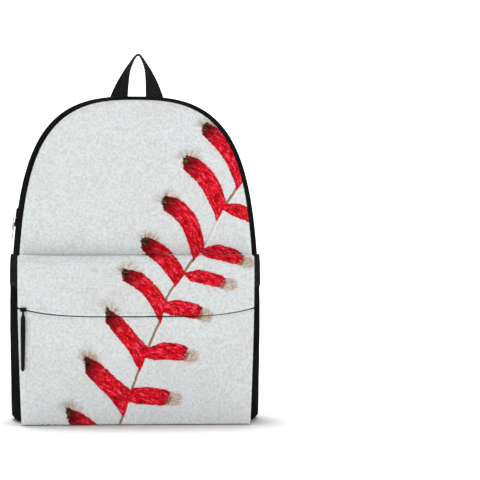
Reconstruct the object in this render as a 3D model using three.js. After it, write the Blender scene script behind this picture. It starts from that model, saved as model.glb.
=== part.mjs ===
// A zipped cloth backpack with a front pocket, two side pockets, a carrying loop and two padded shoulder straps.
// Millimetres, +Z up, +X to the right of someone facing the front pocket, -Y towards them.
// The origin is on the floor, under the middle of the main compartment.
// Every wall is a thin sheet of its own, so the compartment and the pockets are hollow.

import * as THREE from 'three';

// Cloth and seams
const wall = 2; // printed and plain pack cloth with its lining
const seamGap = 0.3; // space left between two pieces that are sewn together
const padThickness = 9; // foam back panel
const webbingWidth = 25;
const webbingThickness = 1.6;

// Outline of the front seam, seen from the front
const seamHalfWidth = 153.8; // the dome's sides would reach this far down at the floor
const seamTop = 415;
const domeReach = 80.5; // height over which the dome closes; more is rounder
const domeFullness = 2.82; // exponent of the dome; more has squarer shoulders
const frontFullness = 2.68; // the same at the front seam
const fullnessDepth = 0.3; // share of the depth over which the one becomes the other
const baseTaper = 9.2; // the seams lean in by this much from the hem level to the floor
const sideTaper = 6.3; // and the sides, halfway between them
const frontCornerRadius = 4.5;
const backCornerRadius = 35;

// Depth
const baseDepth = 156; // main compartment at the floor
const frontLean = 12; // the front leans back by this much at the top
const backLean = 8; // the back leans forward by this much at the top
const frontCrown = 5; // the front panel swells forward
const sideBulge = 11.7; // the gusset swells outward halfway between its seams
const topBulge = 4; // and upward over the dome
const backFlare = 2.6; // the back seam is this much wider than the front seam
const backRise = 11.5; // the back seam is this much taller than the front seam

// Main zip, round the gusset
const zipPlace = 0.4; // of the depth, from the front seam
const zipTapeWidth = 18;
const zipRecess = 0.6;
const sliderLength = 12;
const sliderWidth = 9;
const sliderThickness = 2.2;
const sliderStart = 42; // the lower slider's middle is this far above the hem
const pullLength = 24;
const pullWidth = 6;
const pullThickness = 1;

// Side pockets
const hemTop = 216; // the pockets, and the zipped part of the gusset, meet here
const hemFrontHeight = 44;
const hemBackHeight = 36;
const sidePocketInset = 0.03; // of the depth, kept clear of the front and back seams
const sidePocketSlack = 1; // the cloth stands off the side panel by this much
const sidePocketWall = 1.4;
const hemWall = 2.4;

// Front pocket
const pocketBaseDepth = 36;
const pocketTopDepth = 25;
const pocketShoulder = hemTop - 1; // where the front of the pocket turns back
const ledgeRise = 0.8; // the ledge climbs by this much to the front panel
const pocketFlare = 1.4; // the pocket is wider than the front seam at its shoulder
const pocketCrown = 4;
const pocketZipHeight = 136.5; // at the middle
const pocketZipEndRise = 11; // the zip line climbs at both ends
const pocketZipGap = 1.8;
const pocketZipWidth = 9;
const pocketSliderPlace = -0.955; // of the pocket's half width, towards -X
const pocketSliderLength = 8;
const pocketSliderHeight = 5;
const pocketSliderThickness = 1.8;
const pocketPullLength = 78;
const pocketPullWidth = 5.5;
const pocketPullThickness = 1.6;

// Carrying loop
const loopFootSpacing = 49;
const loopRise = 60.7; // above the back seam
const loopShift = 2.4; // the feet are a little off centre
const loopLean = 2; // and so is the crest, as it fell in use
const loopFootTurn = 17; // degrees between a foot's width and the back seam
const loopTurnPace = 1.6; // more turns it faster near the feet

// Shoulder straps
const strapWidth = 66;
const strapThickness = 11;
const strapRootSpacing = 100;
const strapRootHeight = 390;
const strapSpread = 68; // each strap's lower end is this much further out than its root
const strapStandoff = 117; // from the back panel at the lower end
const strapDrop = 283;

// Ladder lock, its sewn tab and the lower webbing
const lockWidth = 36;
const lockBar = 4; // each bar is as thick as it is high
const lockSlotWidth = 28;
const lockBelowEnd = 8; // from the end of the strap to the middle of the top bar
const tabLength = 20; // sewn onto the strap
const webbingRootHeight = 75;
const webbingRootInset = 7; // from the side edge of the back panel
const webbingSag = 14; // the slack webbing dips by this much
const tailDrop = 34; // free end, below the lock
const tailReach = 24; // and behind it

const cloth = (color, roughness) => new THREE.MeshStandardMaterial({ color, roughness, metalness: 0 });
const printedCloth = cloth(0xdfe2e4, 0.85);
const blackCloth = cloth(0x121214, 0.9);
const blackWebbing = cloth(0x1b1b1e, 0.85);
const blackPadding = cloth(0x18181b, 0.95);
const zipTape = cloth(0x0c0c0d, 0.8);
const blackPlastic = cloth(0x101012, 0.45);

const vector = (x, y, z) => new THREE.Vector3(x, y, z);
const mix = (a, b, share) => a + (b - a) * share;
const clamp = (value) => Math.min(Math.max(value, 0), 1);
const range = (n) => Array.from({ length: n + 1 }, (_, k) => k / n);

const part = new THREE.Group();
function add(name, geometry, material, group = part) {
  const mesh = new THREE.Mesh(geometry, material);
  mesh.name = name;
  group.add(mesh);
}

// Closes a solid from its triangles, with its faces pointing out.
function solid(points, triangles) {
  let volume = 0;
  for (const [a, b, c] of triangles) volume += points[a].dot(points[b].clone().cross(points[c]));
  const outward = volume > 0 ? triangles : triangles.map(([a, b, c]) => [a, c, b]);
  const geometry = new THREE.BufferGeometry();
  geometry.setAttribute('position', new THREE.Float32BufferAttribute(points.flatMap((p) => p.toArray()), 3));
  geometry.setIndex(outward.flat());
  return geometry;
}

// The right piece, and the left one as its mirror image.
function addPair(name, right, material) {
  const at = right.getAttribute('position');
  const points = Array.from({ length: at.count }, (_, k) => vector(-at.getX(k), at.getY(k), at.getZ(k)));
  const order = right.index ? Array.from(right.index.array) : points.map((_, k) => k);
  const triangles = [];
  for (let k = 0; k < order.length; k += 3) triangles.push(order.slice(k, k + 3));
  add(`${name}_right`, right, material);
  add(`${name}_left`, solid(points, triangles), material);
}

// A sheet of cloth between two grids of points, closed by a rim all round.
function sheet(outer, inner) {
  const rows = outer.length;
  const columns = outer[0].length;
  const points = [...outer.flat(), ...inner.flat()];
  const front = (i, j) => i * columns + j;
  const back = (i, j) => rows * columns + front(i, j);
  const triangles = [];
  const quad = (a, b, c, d) => triangles.push([a, b, c], [a, c, d]);
  for (let i = 0; i + 1 < rows; i += 1) {
    for (let j = 0; j + 1 < columns; j += 1) {
      quad(front(i, j), front(i + 1, j), front(i + 1, j + 1), front(i, j + 1));
      quad(back(i, j), back(i, j + 1), back(i + 1, j + 1), back(i + 1, j));
    }
    quad(front(i, 0), back(i, 0), back(i + 1, 0), front(i + 1, 0));
    quad(front(i, columns - 1), front(i + 1, columns - 1), back(i + 1, columns - 1), back(i, columns - 1));
  }
  for (let j = 0; j + 1 < columns; j += 1) {
    quad(front(0, j), front(0, j + 1), back(0, j + 1), back(0, j));
    quad(front(rows - 1, j), back(rows - 1, j), back(rows - 1, j + 1), front(rows - 1, j + 1));
  }
  return solid(points, triangles);
}

// A band of a given section swept along its stops, each with a middle, two directions and the band's sizes.
function band(stops, corners) {
  const points = [];
  const triangles = [];
  const sides = corners.length;
  stops.forEach(({ at, along, across, width, thickness }, k) => {
    const flat = across.clone().addScaledVector(along, -across.dot(along)).normalize();
    const through = along.clone().cross(flat).normalize();
    for (const { wide, thick } of corners) {
      const edge = at.clone().addScaledVector(flat, (wide * width) / 2);
      points.push(edge.addScaledVector(through, (thick * thickness) / 2));
    }
    for (let n = 0; k > 0 && n < sides; n += 1) {
      const a = (k - 1) * sides + n;
      const b = (k - 1) * sides + ((n + 1) % sides);
      triangles.push([a, b, b + sides], [a, b + sides, a + sides]);
    }
  });
  const end = points.length - sides;
  for (let n = 1; n + 1 < sides; n += 1) triangles.push([0, n + 1, n], [end, end + n, end + n + 1]);
  return solid(points, triangles);
}

// Stops of one size along a line of points.
function stopsAlong(points, acrossAt, width, thickness) {
  const last = points.length - 1;
  return points.map((at, k) => {
    const along = points[Math.min(k + 1, last)].clone().sub(points[Math.max(k - 1, 0)]).normalize();
    return { at, along, across: acrossAt(k / last), width, thickness };
  });
}

const flatSection = [
  { wide: -1, thick: -1 },
  { wide: 1, thick: -1 },
  { wide: 1, thick: 1 },
  { wide: -1, thick: 1 },
];
const paddedSection = [
  { wide: -0.84, thick: -1 },
  { wide: 0.84, thick: -1 },
  { wide: 1, thick: -0.45 },
  { wide: 1, thick: 0.45 },
  { wide: 0.84, thick: 1 },
  { wide: -0.84, thick: 1 },
  { wide: -1, thick: 0.45 },
  { wide: -1, thick: -0.45 },
];

// The body's outline at a share of its depth: 0 is the front seam and 1 is the back seam.
const hump = (depth) => (depth <= 0 ? 0 : 4 * depth * (1 - depth));
const swell = (depth) => sideBulge * hump(depth) + backFlare * Math.max(depth, 0);
const outlineTop = (depth) => seamTop + backRise * Math.max(depth, 0) + topBulge * hump(depth);
const outlineReach = (depth) => domeReach + swell(depth) * 0.85;
const cornerRadius = (depth) => mix(frontCornerRadius, backCornerRadius, Math.max(depth, 0) ** 4);
const leanShare = (z) => (Math.max(z, 0) / seamTop) ** 1.5;
const frontY = (z) => -baseDepth / 2 + frontLean * leanShare(z);
const backY = (z) => baseDepth / 2 - backLean * leanShare(z);
const depthY = (z, depth) => mix(frontY(z), backY(z), depth);

const fullness = (depth) => mix(frontFullness, domeFullness, clamp(depth / fullnessDepth));

function outlineHalf(z, depth) {
  const closing = 1 - Math.exp((z - outlineTop(depth)) / outlineReach(depth));
  const taper = mix(baseTaper, sideTaper, hump(depth)) * Math.max(1 - z / hemTop, 0);
  return (seamHalfWidth + swell(depth)) * Math.max(closing, 0) ** (1 / fullness(depth)) - taper;
}

// The back panel follows the rounded bottom corner.
function backHalf(z) {
  const radius = backCornerRadius;
  if (z >= radius) return outlineHalf(z, 1);
  return outlineHalf(radius, 1) - radius + Math.sqrt(radius ** 2 - (radius - z) ** 2);
}

// The front sheets stand on the base, so their corners are cut off above its turned-up edge.
const floorClearance = wall + seamGap;
function frontHalf(z) {
  const radius = frontCornerRadius;
  const cut = z < radius ? (radius - z) / (radius - floorClearance) : 0;
  return outlineHalf(Math.max(z, radius), 0) - radius * cut;
}

// Points at equal steps over the dome, from the hem level on the left to the hem level on the right.
const domeSteps = 26;
const domeFoot = hemTop + seamGap / 2;
function domeArc(depth) {
  const top = outlineTop(depth);
  const reach = outlineReach(depth);
  const end = (1 - Math.exp((domeFoot - top) / reach)) ** (1 / fullness(depth));
  const fine = range(600).map((t) => {
    const share = mix(-end, end, t);
    const x = (seamHalfWidth + swell(depth)) * share;
    return { x, z: top + reach * Math.log(1 - Math.abs(share) ** fullness(depth)) };
  });
  const length = [0];
  for (let k = 1; k < fine.length; k += 1) {
    length.push(length[k - 1] + Math.hypot(fine[k].x - fine[k - 1].x, fine[k].z - fine[k - 1].z));
  }
  return range(domeSteps).map((t) => {
    const goal = t * length[length.length - 1];
    const k = Math.max(length.findIndex((l) => l >= goal), 1);
    const share = (goal - length[k - 1]) / (length[k] - length[k - 1]);
    return { x: mix(fine[k - 1].x, fine[k].x, share), z: mix(fine[k - 1].z, fine[k].z, share) };
  });
}

// A strip of the gusset over the dome, between two shares of the depth, with its outer face sunk by a recess.
function domeStrip(fromDepth, toDepth, steps, recess) {
  const surface = range(steps).map((t) => {
    const depth = mix(fromDepth, toDepth, t);
    return domeArc(depth).map(({ x, z }) => vector(x, depthY(z, depth), z));
  });
  const inward = (distance) =>
    surface.map((row) =>
      row.map((p, j) => {
        if (j === 0 || j === domeSteps) return vector(p.x - Math.sign(p.x) * distance, p.y, p.z);
        const along = row[j + 1].clone().sub(row[j - 1]);
        return p.clone().addScaledVector(vector(along.z, 0, -along.x).normalize(), distance);
      }),
    );
  return sheet(inward(recess), inward(recess + wall));
}

// Gusset over the dome: a front strip, the zip and a back strip
const shareOf = (length) => length / baseDepth;
const zipFront = zipPlace - shareOf(zipTapeWidth) / 2;
const zipBack = zipPlace + shareOf(zipTapeWidth) / 2;
add('gusset_front', domeStrip(0, zipFront - shareOf(seamGap), 3, 0), blackCloth);
add('main_zip', domeStrip(zipFront, zipBack, 1, zipRecess), zipTape);
add('gusset_back', domeStrip(zipBack + shareOf(seamGap), 1, 4, 0), blackCloth);

// Front and back panels: rows from the floor to the crest, whose ends lie on the seam
const crestFlat = 9; // half width of the topmost row
const crestZ = (depth) =>
  outlineTop(depth) + outlineReach(depth) * Math.log(1 - (crestFlat / seamHalfWidth) ** fullness(depth));
const domeRows = (depth) => [...domeArc(depth).slice(0, domeSteps / 2).map(({ z }) => z), crestZ(depth)];
const sideRows = (fromZ, steps) => range(steps).slice(0, -1).map((t) => mix(fromZ, domeFoot, t));
const columns = range(10).map((t) => mix(-1, 1, t));
const crownAt = (across, up) => (1 - across ** 2) * Math.sin(Math.PI * clamp(up)) ** 0.7;

function frontFace(z, across, forward) {
  const crown = frontCrown * crownAt(across, z / seamTop);
  return vector(across * frontHalf(z), frontY(z) - seamGap - forward - crown, z);
}
const frontRows = [floorClearance, ...sideRows(frontCornerRadius, 4), ...domeRows(0)];
const frontPanel = (forward) => frontRows.map((z) => columns.map((c) => frontFace(z, c, forward)));
add('front_panel', sheet(frontPanel(wall), frontPanel(0)), printedCloth);

const padEdge = 0.75; // the padding is pressed thinner by its binding
const cornerRows = range(4).map((t) => backCornerRadius * (1 - Math.cos((t * Math.PI) / 2)));
const backRows = [...cornerRows.slice(0, -1), ...sideRows(backCornerRadius, 4), ...domeRows(1)];
function padFace(z, across, thickness) {
  const pressed = mix(1, padEdge, across ** 8);
  return vector(across * backHalf(z), backY(z) + seamGap + thickness * pressed, z);
}
const backPanel = (thickness) => backRows.map((z) => columns.map((c) => padFace(z, c, thickness)));
add('back_panel', sheet(backPanel(padThickness), backPanel(0)), blackPadding);

// Side panels: from the hem level down the side and halfway round the bottom corner
const halfCorner = Math.PI / 4;
const sideDepths = range(8);
function cornerPoint(depth, angle, inset) {
  const radius = cornerRadius(depth);
  const middle = outlineHalf(radius, depth) - radius;
  const reach = radius - inset;
  return { x: middle + reach * Math.cos(angle), z: radius - reach * Math.sin(angle) };
}
function sideColumn(depth, inset) {
  const radius = cornerRadius(depth);
  const straight = range(6).map((t) => {
    const z = mix(hemTop - seamGap / 2, radius, t);
    return { x: outlineHalf(z, depth) - inset, z };
  });
  const stop = halfCorner - seamGap / 2 / (radius - wall);
  return [...straight, ...range(3).slice(1).map((t) => cornerPoint(depth, t * stop, inset))];
}
const sidePanel = (inset) =>
  sideDepths.map((depth) => sideColumn(depth, inset).map(({ x, z }) => vector(x, depthY(z, depth), z)));
addPair('side_panel', sheet(sidePanel(0), sidePanel(wall)), blackCloth);

// Base: one sheet from the pocket's front to the back panel
const baseFront = -shareOf(pocketBaseDepth);
const baseDepths = [baseFront, baseFront / 2, ...range(8)];
function baseRow(depth, inset) {
  const start = halfCorner + seamGap / 2 / (cornerRadius(depth) - wall);
  const corner = range(3).map((t) => cornerPoint(depth, mix(Math.PI / 2, start, t), inset));
  const right = [{ x: corner[0].x / 2, z: inset }, ...corner];
  const left = right.map(({ x, z }) => ({ x: -x, z })).reverse();
  return [...left, { x: 0, z: inset }, ...right];
}
const base = (inset) =>
  baseDepths.map((depth) => baseRow(depth, inset).map(({ x, z }) => vector(x, depthY(0, depth), z)));
add('base_panel', sheet(base(0), base(wall)), blackCloth);

// Side pockets: a patch and a wide hem, seated on the side panel
const patchDepths = sideDepths.map((t) => mix(sidePocketInset, 1 - sidePocketInset, t));
function patchGrid(fromZ, toZ, steps, stand) {
  return patchDepths.map((depth) =>
    range(steps).map((t) => {
      const z = mix(fromZ(depth), toZ(depth), t);
      const slack = sidePocketSlack * hump(depth) * clamp(z / hemTop);
      return vector(outlineHalf(z, depth) + 2 * seamGap + slack + stand, depthY(z, depth), z);
    }),
  );
}
const patchFoot = (depth) => cornerRadius(depth) + seamGap;
const hemFoot = (depth) => hemTop - mix(hemFrontHeight, hemBackHeight, depth);
const patch = (stand) => patchGrid(patchFoot, (depth) => hemFoot(depth) - seamGap, 5, stand);
const hem = (stand) => patchGrid(hemFoot, () => hemTop, 2, stand);
addPair('side_pocket', sheet(patch(sidePocketWall), patch(0)), blackCloth);
addPair('side_pocket_hem', sheet(hem(hemWall), hem(0)), blackCloth);

// Front pocket: the sheet below the zip
const pocketRise = (z) => clamp(z / pocketShoulder);
const pocketY = (z) => frontY(z) - mix(pocketBaseDepth, pocketTopDepth, pocketRise(z));
const pocketHalf = (z) => frontHalf(z) + pocketFlare * pocketRise(z);
const pocketZipZ = (across) => pocketZipHeight + pocketZipEndRise * Math.abs(across) ** 4;
const pocketColumns = range(14).map((t) => mix(-1, 1, t));
function pocketFace(z, across, behind) {
  const crown = pocketCrown * crownAt(across, z / pocketShoulder);
  return vector(across * pocketHalf(z), pocketY(z) - crown + behind, z);
}
const lowerRows = [() => floorClearance, () => frontCornerRadius].concat(
  range(5).slice(1).map((t) => (c) => mix(frontCornerRadius, pocketZipZ(c) - pocketZipGap / 2, t)),
);
const lowerPocket = (behind) => lowerRows.map((z) => pocketColumns.map((c) => pocketFace(z(c), c, behind)));
add('pocket_front', sheet(lowerPocket(0), lowerPocket(wall)), printedCloth);

// The sheet above the zip, which turns back at the shoulder and climbs to the front panel
const ledgeTop = pocketShoulder + ledgeRise;
const ledgeThinning = 0.35;
function ledgeFace(across, t) {
  const front = pocketFace(pocketShoulder, across, 0);
  const seam = frontFace(ledgeTop, across, wall);
  const half = mix(pocketHalf(pocketShoulder), frontHalf(ledgeTop), t);
  return vector(across * half, mix(front.y, seam.y - seamGap, t), mix(pocketShoulder, ledgeTop, t));
}
const bandRows = [
  ...range(4).slice(0, -1).map((t) => ({
    face: (c) => pocketFace(mix(pocketZipZ(c) + pocketZipGap / 2, pocketShoulder, t), c, 0),
    turn: 0,
    thickness: 1,
  })),
  { face: (c) => ledgeFace(c, 0), turn: 0.5, thickness: 1 },
  { face: (c) => ledgeFace(c, 1 / 3), turn: 1, thickness: 1 },
  { face: (c) => ledgeFace(c, 2 / 3), turn: 1, thickness: 1 },
  { face: (c) => ledgeFace(c, 1), turn: 1, thickness: 0 },
];
const bandOuter = bandRows.map(({ face }) => pocketColumns.map((c) => face(c)));
const bandInner = bandRows.map(({ face, turn, thickness }) =>
  pocketColumns.map((c) => {
    const back = wall * thickness * (1 - turn * ledgeThinning);
    return face(c).add(vector(0, back, -wall * turn));
  }),
);
add('pocket_band', sheet(bandOuter, bandInner), printedCloth);

// Side walls of the pocket, between its front sheets and the front panel
function pocketWallColumn(share, inset) {
  const place = (x, z) => {
    const start = pocketY(z) + wall + 2 * seamGap;
    return vector(x - inset, mix(start, frontFace(z, 1, wall).y - seamGap, share), z);
  };
  const top = mix(pocketShoulder, ledgeTop, share) - wall - 2 * seamGap;
  const straight = range(6).map((t) => {
    const z = mix(top, frontCornerRadius, t);
    return place(mix(pocketHalf(z), frontHalf(z), share), z);
  });
  const stop = halfCorner - seamGap / 2 / (frontCornerRadius - wall);
  const corner = range(2).slice(1).map((t) => {
    const { x, z } = cornerPoint(0, t * stop, inset);
    return place(x + inset, z);
  });
  return [...straight, ...corner];
}
const pocketWall = (inset) => range(2).map((t) => pocketWallColumn(t, inset));
addPair('pocket_gusset', sheet(pocketWall(0), pocketWall(wall)), blackCloth);

// Zip behind the slit between the pocket's two front sheets
const pocketZipEnd = 1 - (wall + 2 * seamGap) / (seamHalfWidth - baseTaper);
const zipRows = [-0.5, 0, 0.5].map((up) => up * pocketZipWidth);
const pocketZip = (behind) =>
  zipRows.map((up) =>
    pocketColumns.map((c) => {
      const across = c * pocketZipEnd;
      return pocketFace(pocketZipZ(across) + up, across, wall + seamGap + behind);
    }),
  );
add('pocket_zip', sheet(pocketZip(0), pocketZip(wall / 2)), zipTape);

// Pocket slider over the slit, with its long pull lying down the front
const sliderMiddle = pocketZipZ(pocketSliderPlace);
const sliderFoot = sliderMiddle - pocketSliderHeight / 2;
const sliderBack = pocketFace(sliderFoot, pocketSliderPlace, -seamGap);
const pocketSlider = new THREE.Group();
pocketSlider.position.set(sliderBack.x, sliderBack.y, sliderFoot);
part.add(pocketSlider);
const sliderBlock = new THREE.BoxGeometry(pocketSliderLength, pocketSliderThickness, pocketSliderHeight);
sliderBlock.translate(0, -pocketSliderThickness / 2, pocketSliderHeight / 2);
add('pocket_slider', sliderBlock, blackPlastic, pocketSlider);
const pocketPull = new THREE.BoxGeometry(pocketPullWidth, pocketPullThickness, pocketPullLength);
const pullMiddle = pocketSliderThickness + seamGap + pocketPullThickness / 2;
const clothBelow = pocketFace(sliderMiddle - pocketPullLength, pocketSliderPlace, -seamGap);
pocketPull.translate(0, 0, -pocketPullLength / 2);
pocketPull.rotateX(-Math.atan2(sliderBack.y - clothBelow.y, pocketPullLength));
pocketPull.translate(0, -pullMiddle, pocketSliderHeight / 2);
add('pocket_pull', pocketPull, blackPlastic, pocketSlider);

// Two sliders of the main zip meet near its left end, and their pulls lie down along the gusset
const sliderShape = new THREE.Shape([
  new THREE.Vector2(-sliderWidth / 2, -sliderLength / 2),
  new THREE.Vector2(sliderWidth / 2, -sliderLength / 2),
  new THREE.Vector2(sliderWidth / 3, sliderLength / 2),
  new THREE.Vector2(-sliderWidth / 3, sliderLength / 2),
]);
const pullFloor = sliderThickness + seamGap;
['lower', 'upper'].forEach((name, k) => {
  const z = hemTop + sliderStart + k * (sliderLength + seamGap);
  const rise = outlineHalf(z - sliderLength, zipPlace) - outlineHalf(z + sliderLength, zipPlace);
  const up = vector(rise, 0, 2 * sliderLength).normalize();
  const out = vector(-up.z, 0, up.x);
  const place = new THREE.Group();
  const surface = vector(-outlineHalf(z, zipPlace), depthY(z, zipPlace), z);
  place.applyMatrix4(new THREE.Matrix4().makeBasis(vector(0, -1, 0), up, out).setPosition(surface));
  part.add(place);
  const body = new THREE.ExtrudeGeometry(sliderShape, { depth: sliderThickness, bevelEnabled: false });
  add(`main_slider_${name}`, body, blackPlastic, place);
  const pull = new THREE.BoxGeometry(pullWidth, pullLength, pullThickness);
  const layer = pullFloor + pullThickness / 2 + k * (pullThickness + seamGap);
  add(`main_pull_${name}`, pull.translate(0, -pullLength / 2, layer), blackWebbing, place);
});

// Carrying loop: webbing whose feet stand on the back seam and whose crest lies across it
const loopOutline = [
  { out: -1, up: 0 },
  { out: -0.76, up: 0.39 },
  { out: -0.44, up: 0.75 },
  { out: 0, up: 1 },
  { out: 0.44, up: 0.75 },
  { out: 0.76, up: 0.39 },
  { out: 1, up: 0 },
];
const loopFootZ = outlineTop(1) + seamGap;
const loopPoints = loopOutline.map(({ out, up }) => {
  const x = loopShift + (out * loopFootSpacing) / 2 + loopLean * up;
  return vector(x, backY(outlineTop(1)), loopFootZ + up * loopRise);
});
const loopTurn = (t) => {
  const fromCrest = 1 - 2 * t;
  const turned = (90 - loopFootTurn) * Math.sign(fromCrest) * Math.abs(fromCrest) ** loopTurnPace;
  return THREE.MathUtils.degToRad(90 - turned);
};
const loopAcross = (t) => vector(Math.cos(loopTurn(t)), Math.sin(loopTurn(t)), 0);
const loopCurve = new THREE.CatmullRomCurve3(loopPoints);
const loopStops = stopsAlong(loopCurve.getPoints(20), loopAcross, webbingWidth, webbingThickness);
loopStops[0].along = vector(0, 0, 1);
loopStops[loopStops.length - 1].along = vector(0, 0, -1);
add('carry_loop', band(loopStops, flatSection), blackWebbing);

// Shoulder straps: out of the back panel, over the shoulder and down
const strapRoute = [
  { out: 0, back: 0, down: 0 },
  { out: 0.12, back: 0.29, down: -0.045 },
  { out: 0.26, back: 0.55, down: -0.02 },
  { out: 0.44, back: 0.735, down: 0.08 },
  { out: 0.62, back: 0.83, down: 0.25 },
  { out: 0.81, back: 0.906, down: 0.46 },
  { out: 0.93, back: 0.957, down: 0.67 },
  { out: 0.985, back: 0.99, down: 0.845 },
  { out: 1, back: 1, down: 1 },
];
const panelBack = (z) => backY(z) + 2 * seamGap + padThickness;
const strapPoints = strapRoute.map(({ out, back, down }) =>
  vector(
    strapRootSpacing / 2 + out * strapSpread,
    panelBack(strapRootHeight) + back * strapStandoff,
    strapRootHeight - down * strapDrop,
  ),
);
const strapLine = new THREE.CatmullRomCurve3(strapPoints).getSpacedPoints(16);
const strapStops = stopsAlong(strapLine, () => vector(1, 0, 0), strapWidth, strapThickness);
strapStops[0].along = vector(0, 1, 0);
addPair('shoulder_strap', band(strapStops, paddedSection), blackPadding);

// The ladder lock hangs below the strap, in line with its last stretch. Two turns of webbing share its upper slot.
const wrapRadius = lockBar * Math.SQRT1_2 + seamGap + webbingThickness / 2;
const lockSlot = 2 * (wrapRadius + webbingThickness / 2 - lockBar / 2 + seamGap);
const lockHeight = 3 * lockBar + 2 * lockSlot;
const down = strapStops[strapStops.length - 1].along;
const side = vector(1, 0, 0).addScaledVector(down, -down.x).normalize();
const outward = side.clone().cross(down).normalize();
const foldMiddle = webbingThickness + 1.5 * seamGap; // between the tab's two layers, from the strap's face
const lockOrigin = strapLine[strapLine.length - 1]
  .clone()
  .addScaledVector(down, lockBelowEnd)
  .addScaledVector(outward, strapThickness / 2 + foldMiddle);
const atLock = (below, out) =>
  lockOrigin.clone().addScaledVector(down, below).addScaledVector(outward, out);

const rectangle = (width, low, high) => [
  new THREE.Vector2(-width / 2, low),
  new THREE.Vector2(width / 2, low),
  new THREE.Vector2(width / 2, high),
  new THREE.Vector2(-width / 2, high),
];
const lockShape = new THREE.Shape(rectangle(lockWidth, lockBar / 2 - lockHeight, lockBar / 2));
for (const k of [0, 1]) {
  const high = -lockBar / 2 - k * (lockBar + lockSlot);
  lockShape.holes.push(new THREE.Path(rectangle(lockSlotWidth, high - lockSlot, high)));
}
const lockGeometry = new THREE.ExtrudeGeometry(lockShape, { depth: lockBar, bevelEnabled: false });
lockGeometry.translate(0, 0, -lockBar / 2);
const lockUp = down.clone().negate();
lockGeometry.applyMatrix4(new THREE.Matrix4().makeBasis(side, lockUp, side.clone().cross(lockUp)));
lockGeometry.translate(...lockOrigin.toArray());
addPair('ladder_lock', lockGeometry, blackPlastic);

// The tab is folded round the top bar, with both of its layers on the strap
const layerOut = (webbingThickness + seamGap) / 2;
const halfTurn = range(4).map((t) => t * Math.PI);
const tabEnd = lockBelowEnd + tabLength;
const tabPoints = [
  atLock(-tabEnd, -layerOut),
  atLock(-lockBelowEnd, -layerOut),
  ...halfTurn.map((a) => atLock(wrapRadius * Math.sin(a), -wrapRadius * Math.cos(a))),
  atLock(-lockBelowEnd, layerOut),
  atLock(-tabEnd, layerOut),
];
addPair('strap_tab', band(stopsAlong(tabPoints, () => side, webbingWidth, webbingThickness), flatSection), blackWebbing);

// Lower webbing: from the back panel's lower corner, up behind the lock, over its middle bar and down as a free end
const middleBar = lockBar + lockSlot;
const bottomBar = 2 * middleBar;
const rootX = outlineHalf(webbingRootHeight, 1) - webbingRootInset;
const rootY = panelBack(webbingRootHeight);
const behindLock = atLock(bottomBar + lockBar, -wrapRadius);
const slackPoints = [
  { share: 0, dip: 0 },
  { share: 0.3, dip: 0.6 },
  { share: 0.62, dip: 1 },
  { share: 0.88, dip: 0.6 },
].map(({ share, dip }) =>
  vector(
    mix(rootX, behindLock.x, share),
    mix(rootY, behindLock.y, share),
    mix(webbingRootHeight, behindLock.z, share ** 3) - dip * webbingSag,
  ),
);
const slack = new THREE.CatmullRomCurve3([...slackPoints, behindLock]).getSpacedPoints(12);
const overBar = halfTurn.map((a) => atLock(middleBar - wrapRadius * Math.sin(a), -wrapRadius * Math.cos(a)));
const tail = new THREE.CatmullRomCurve3([
  atLock(bottomBar, wrapRadius),
  atLock(bottomBar + tailDrop * 0.35, wrapRadius + tailReach * 0.25),
  atLock(bottomBar + tailDrop * 0.7, wrapRadius + tailReach * 0.62),
  atLock(bottomBar + tailDrop, wrapRadius + tailReach),
]).getSpacedPoints(6);
const webbingPoints = [...slack, ...overBar, ...tail];
const twistEnd = (slack.length - 1) / (webbingPoints.length - 1);
const upright = vector(0, 0, 1);
const webbingAcross = (t) => upright.clone().lerp(side, clamp(t / twistEnd) ** 1.3).normalize();
const webbingStops = stopsAlong(webbingPoints, webbingAcross, webbingWidth, webbingThickness);
webbingStops[0].along = vector(0, 1, 0);
addPair('lower_webbing', band(webbingStops, flatSection), blackWebbing);

export default part;
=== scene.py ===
# %% [markdown]
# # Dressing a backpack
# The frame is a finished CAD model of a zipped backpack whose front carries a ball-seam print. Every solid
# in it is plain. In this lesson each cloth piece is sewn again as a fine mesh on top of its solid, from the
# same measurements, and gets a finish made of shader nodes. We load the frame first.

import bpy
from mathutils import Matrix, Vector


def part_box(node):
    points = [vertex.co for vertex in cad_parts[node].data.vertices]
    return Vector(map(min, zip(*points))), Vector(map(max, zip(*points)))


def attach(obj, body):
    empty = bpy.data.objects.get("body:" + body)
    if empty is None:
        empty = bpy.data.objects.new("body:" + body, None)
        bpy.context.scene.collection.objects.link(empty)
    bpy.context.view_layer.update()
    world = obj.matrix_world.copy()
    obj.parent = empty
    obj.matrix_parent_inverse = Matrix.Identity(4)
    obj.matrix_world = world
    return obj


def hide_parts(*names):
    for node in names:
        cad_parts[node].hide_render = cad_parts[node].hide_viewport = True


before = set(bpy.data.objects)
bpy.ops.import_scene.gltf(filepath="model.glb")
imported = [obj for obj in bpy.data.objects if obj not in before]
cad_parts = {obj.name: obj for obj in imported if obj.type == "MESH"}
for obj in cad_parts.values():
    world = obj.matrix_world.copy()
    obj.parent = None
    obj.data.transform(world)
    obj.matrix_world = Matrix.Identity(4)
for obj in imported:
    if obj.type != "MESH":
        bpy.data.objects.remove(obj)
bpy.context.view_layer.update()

import math

import bpy
import numpy as np
from mathutils import Vector
from mathutils.kdtree import KDTree

print("nodes in the frame:", len(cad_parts))

# %% [markdown]
# ## The camera
# The picture was taken from straight in front, a little to the left, level with the upper edge of the
# pocket. A long lens keeps the sides nearly parallel. The bag stands in the left half of the picture, so
# the camera aims past it on the right instead of using lens shift, which would also push the bag aside in
# every other view.

# %% Camera
EYE = Vector((-0.030, -2.6, 0.2086))
AIM = Vector((0.1386, 0.0, 0.2350))
LENS = 147.2

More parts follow.
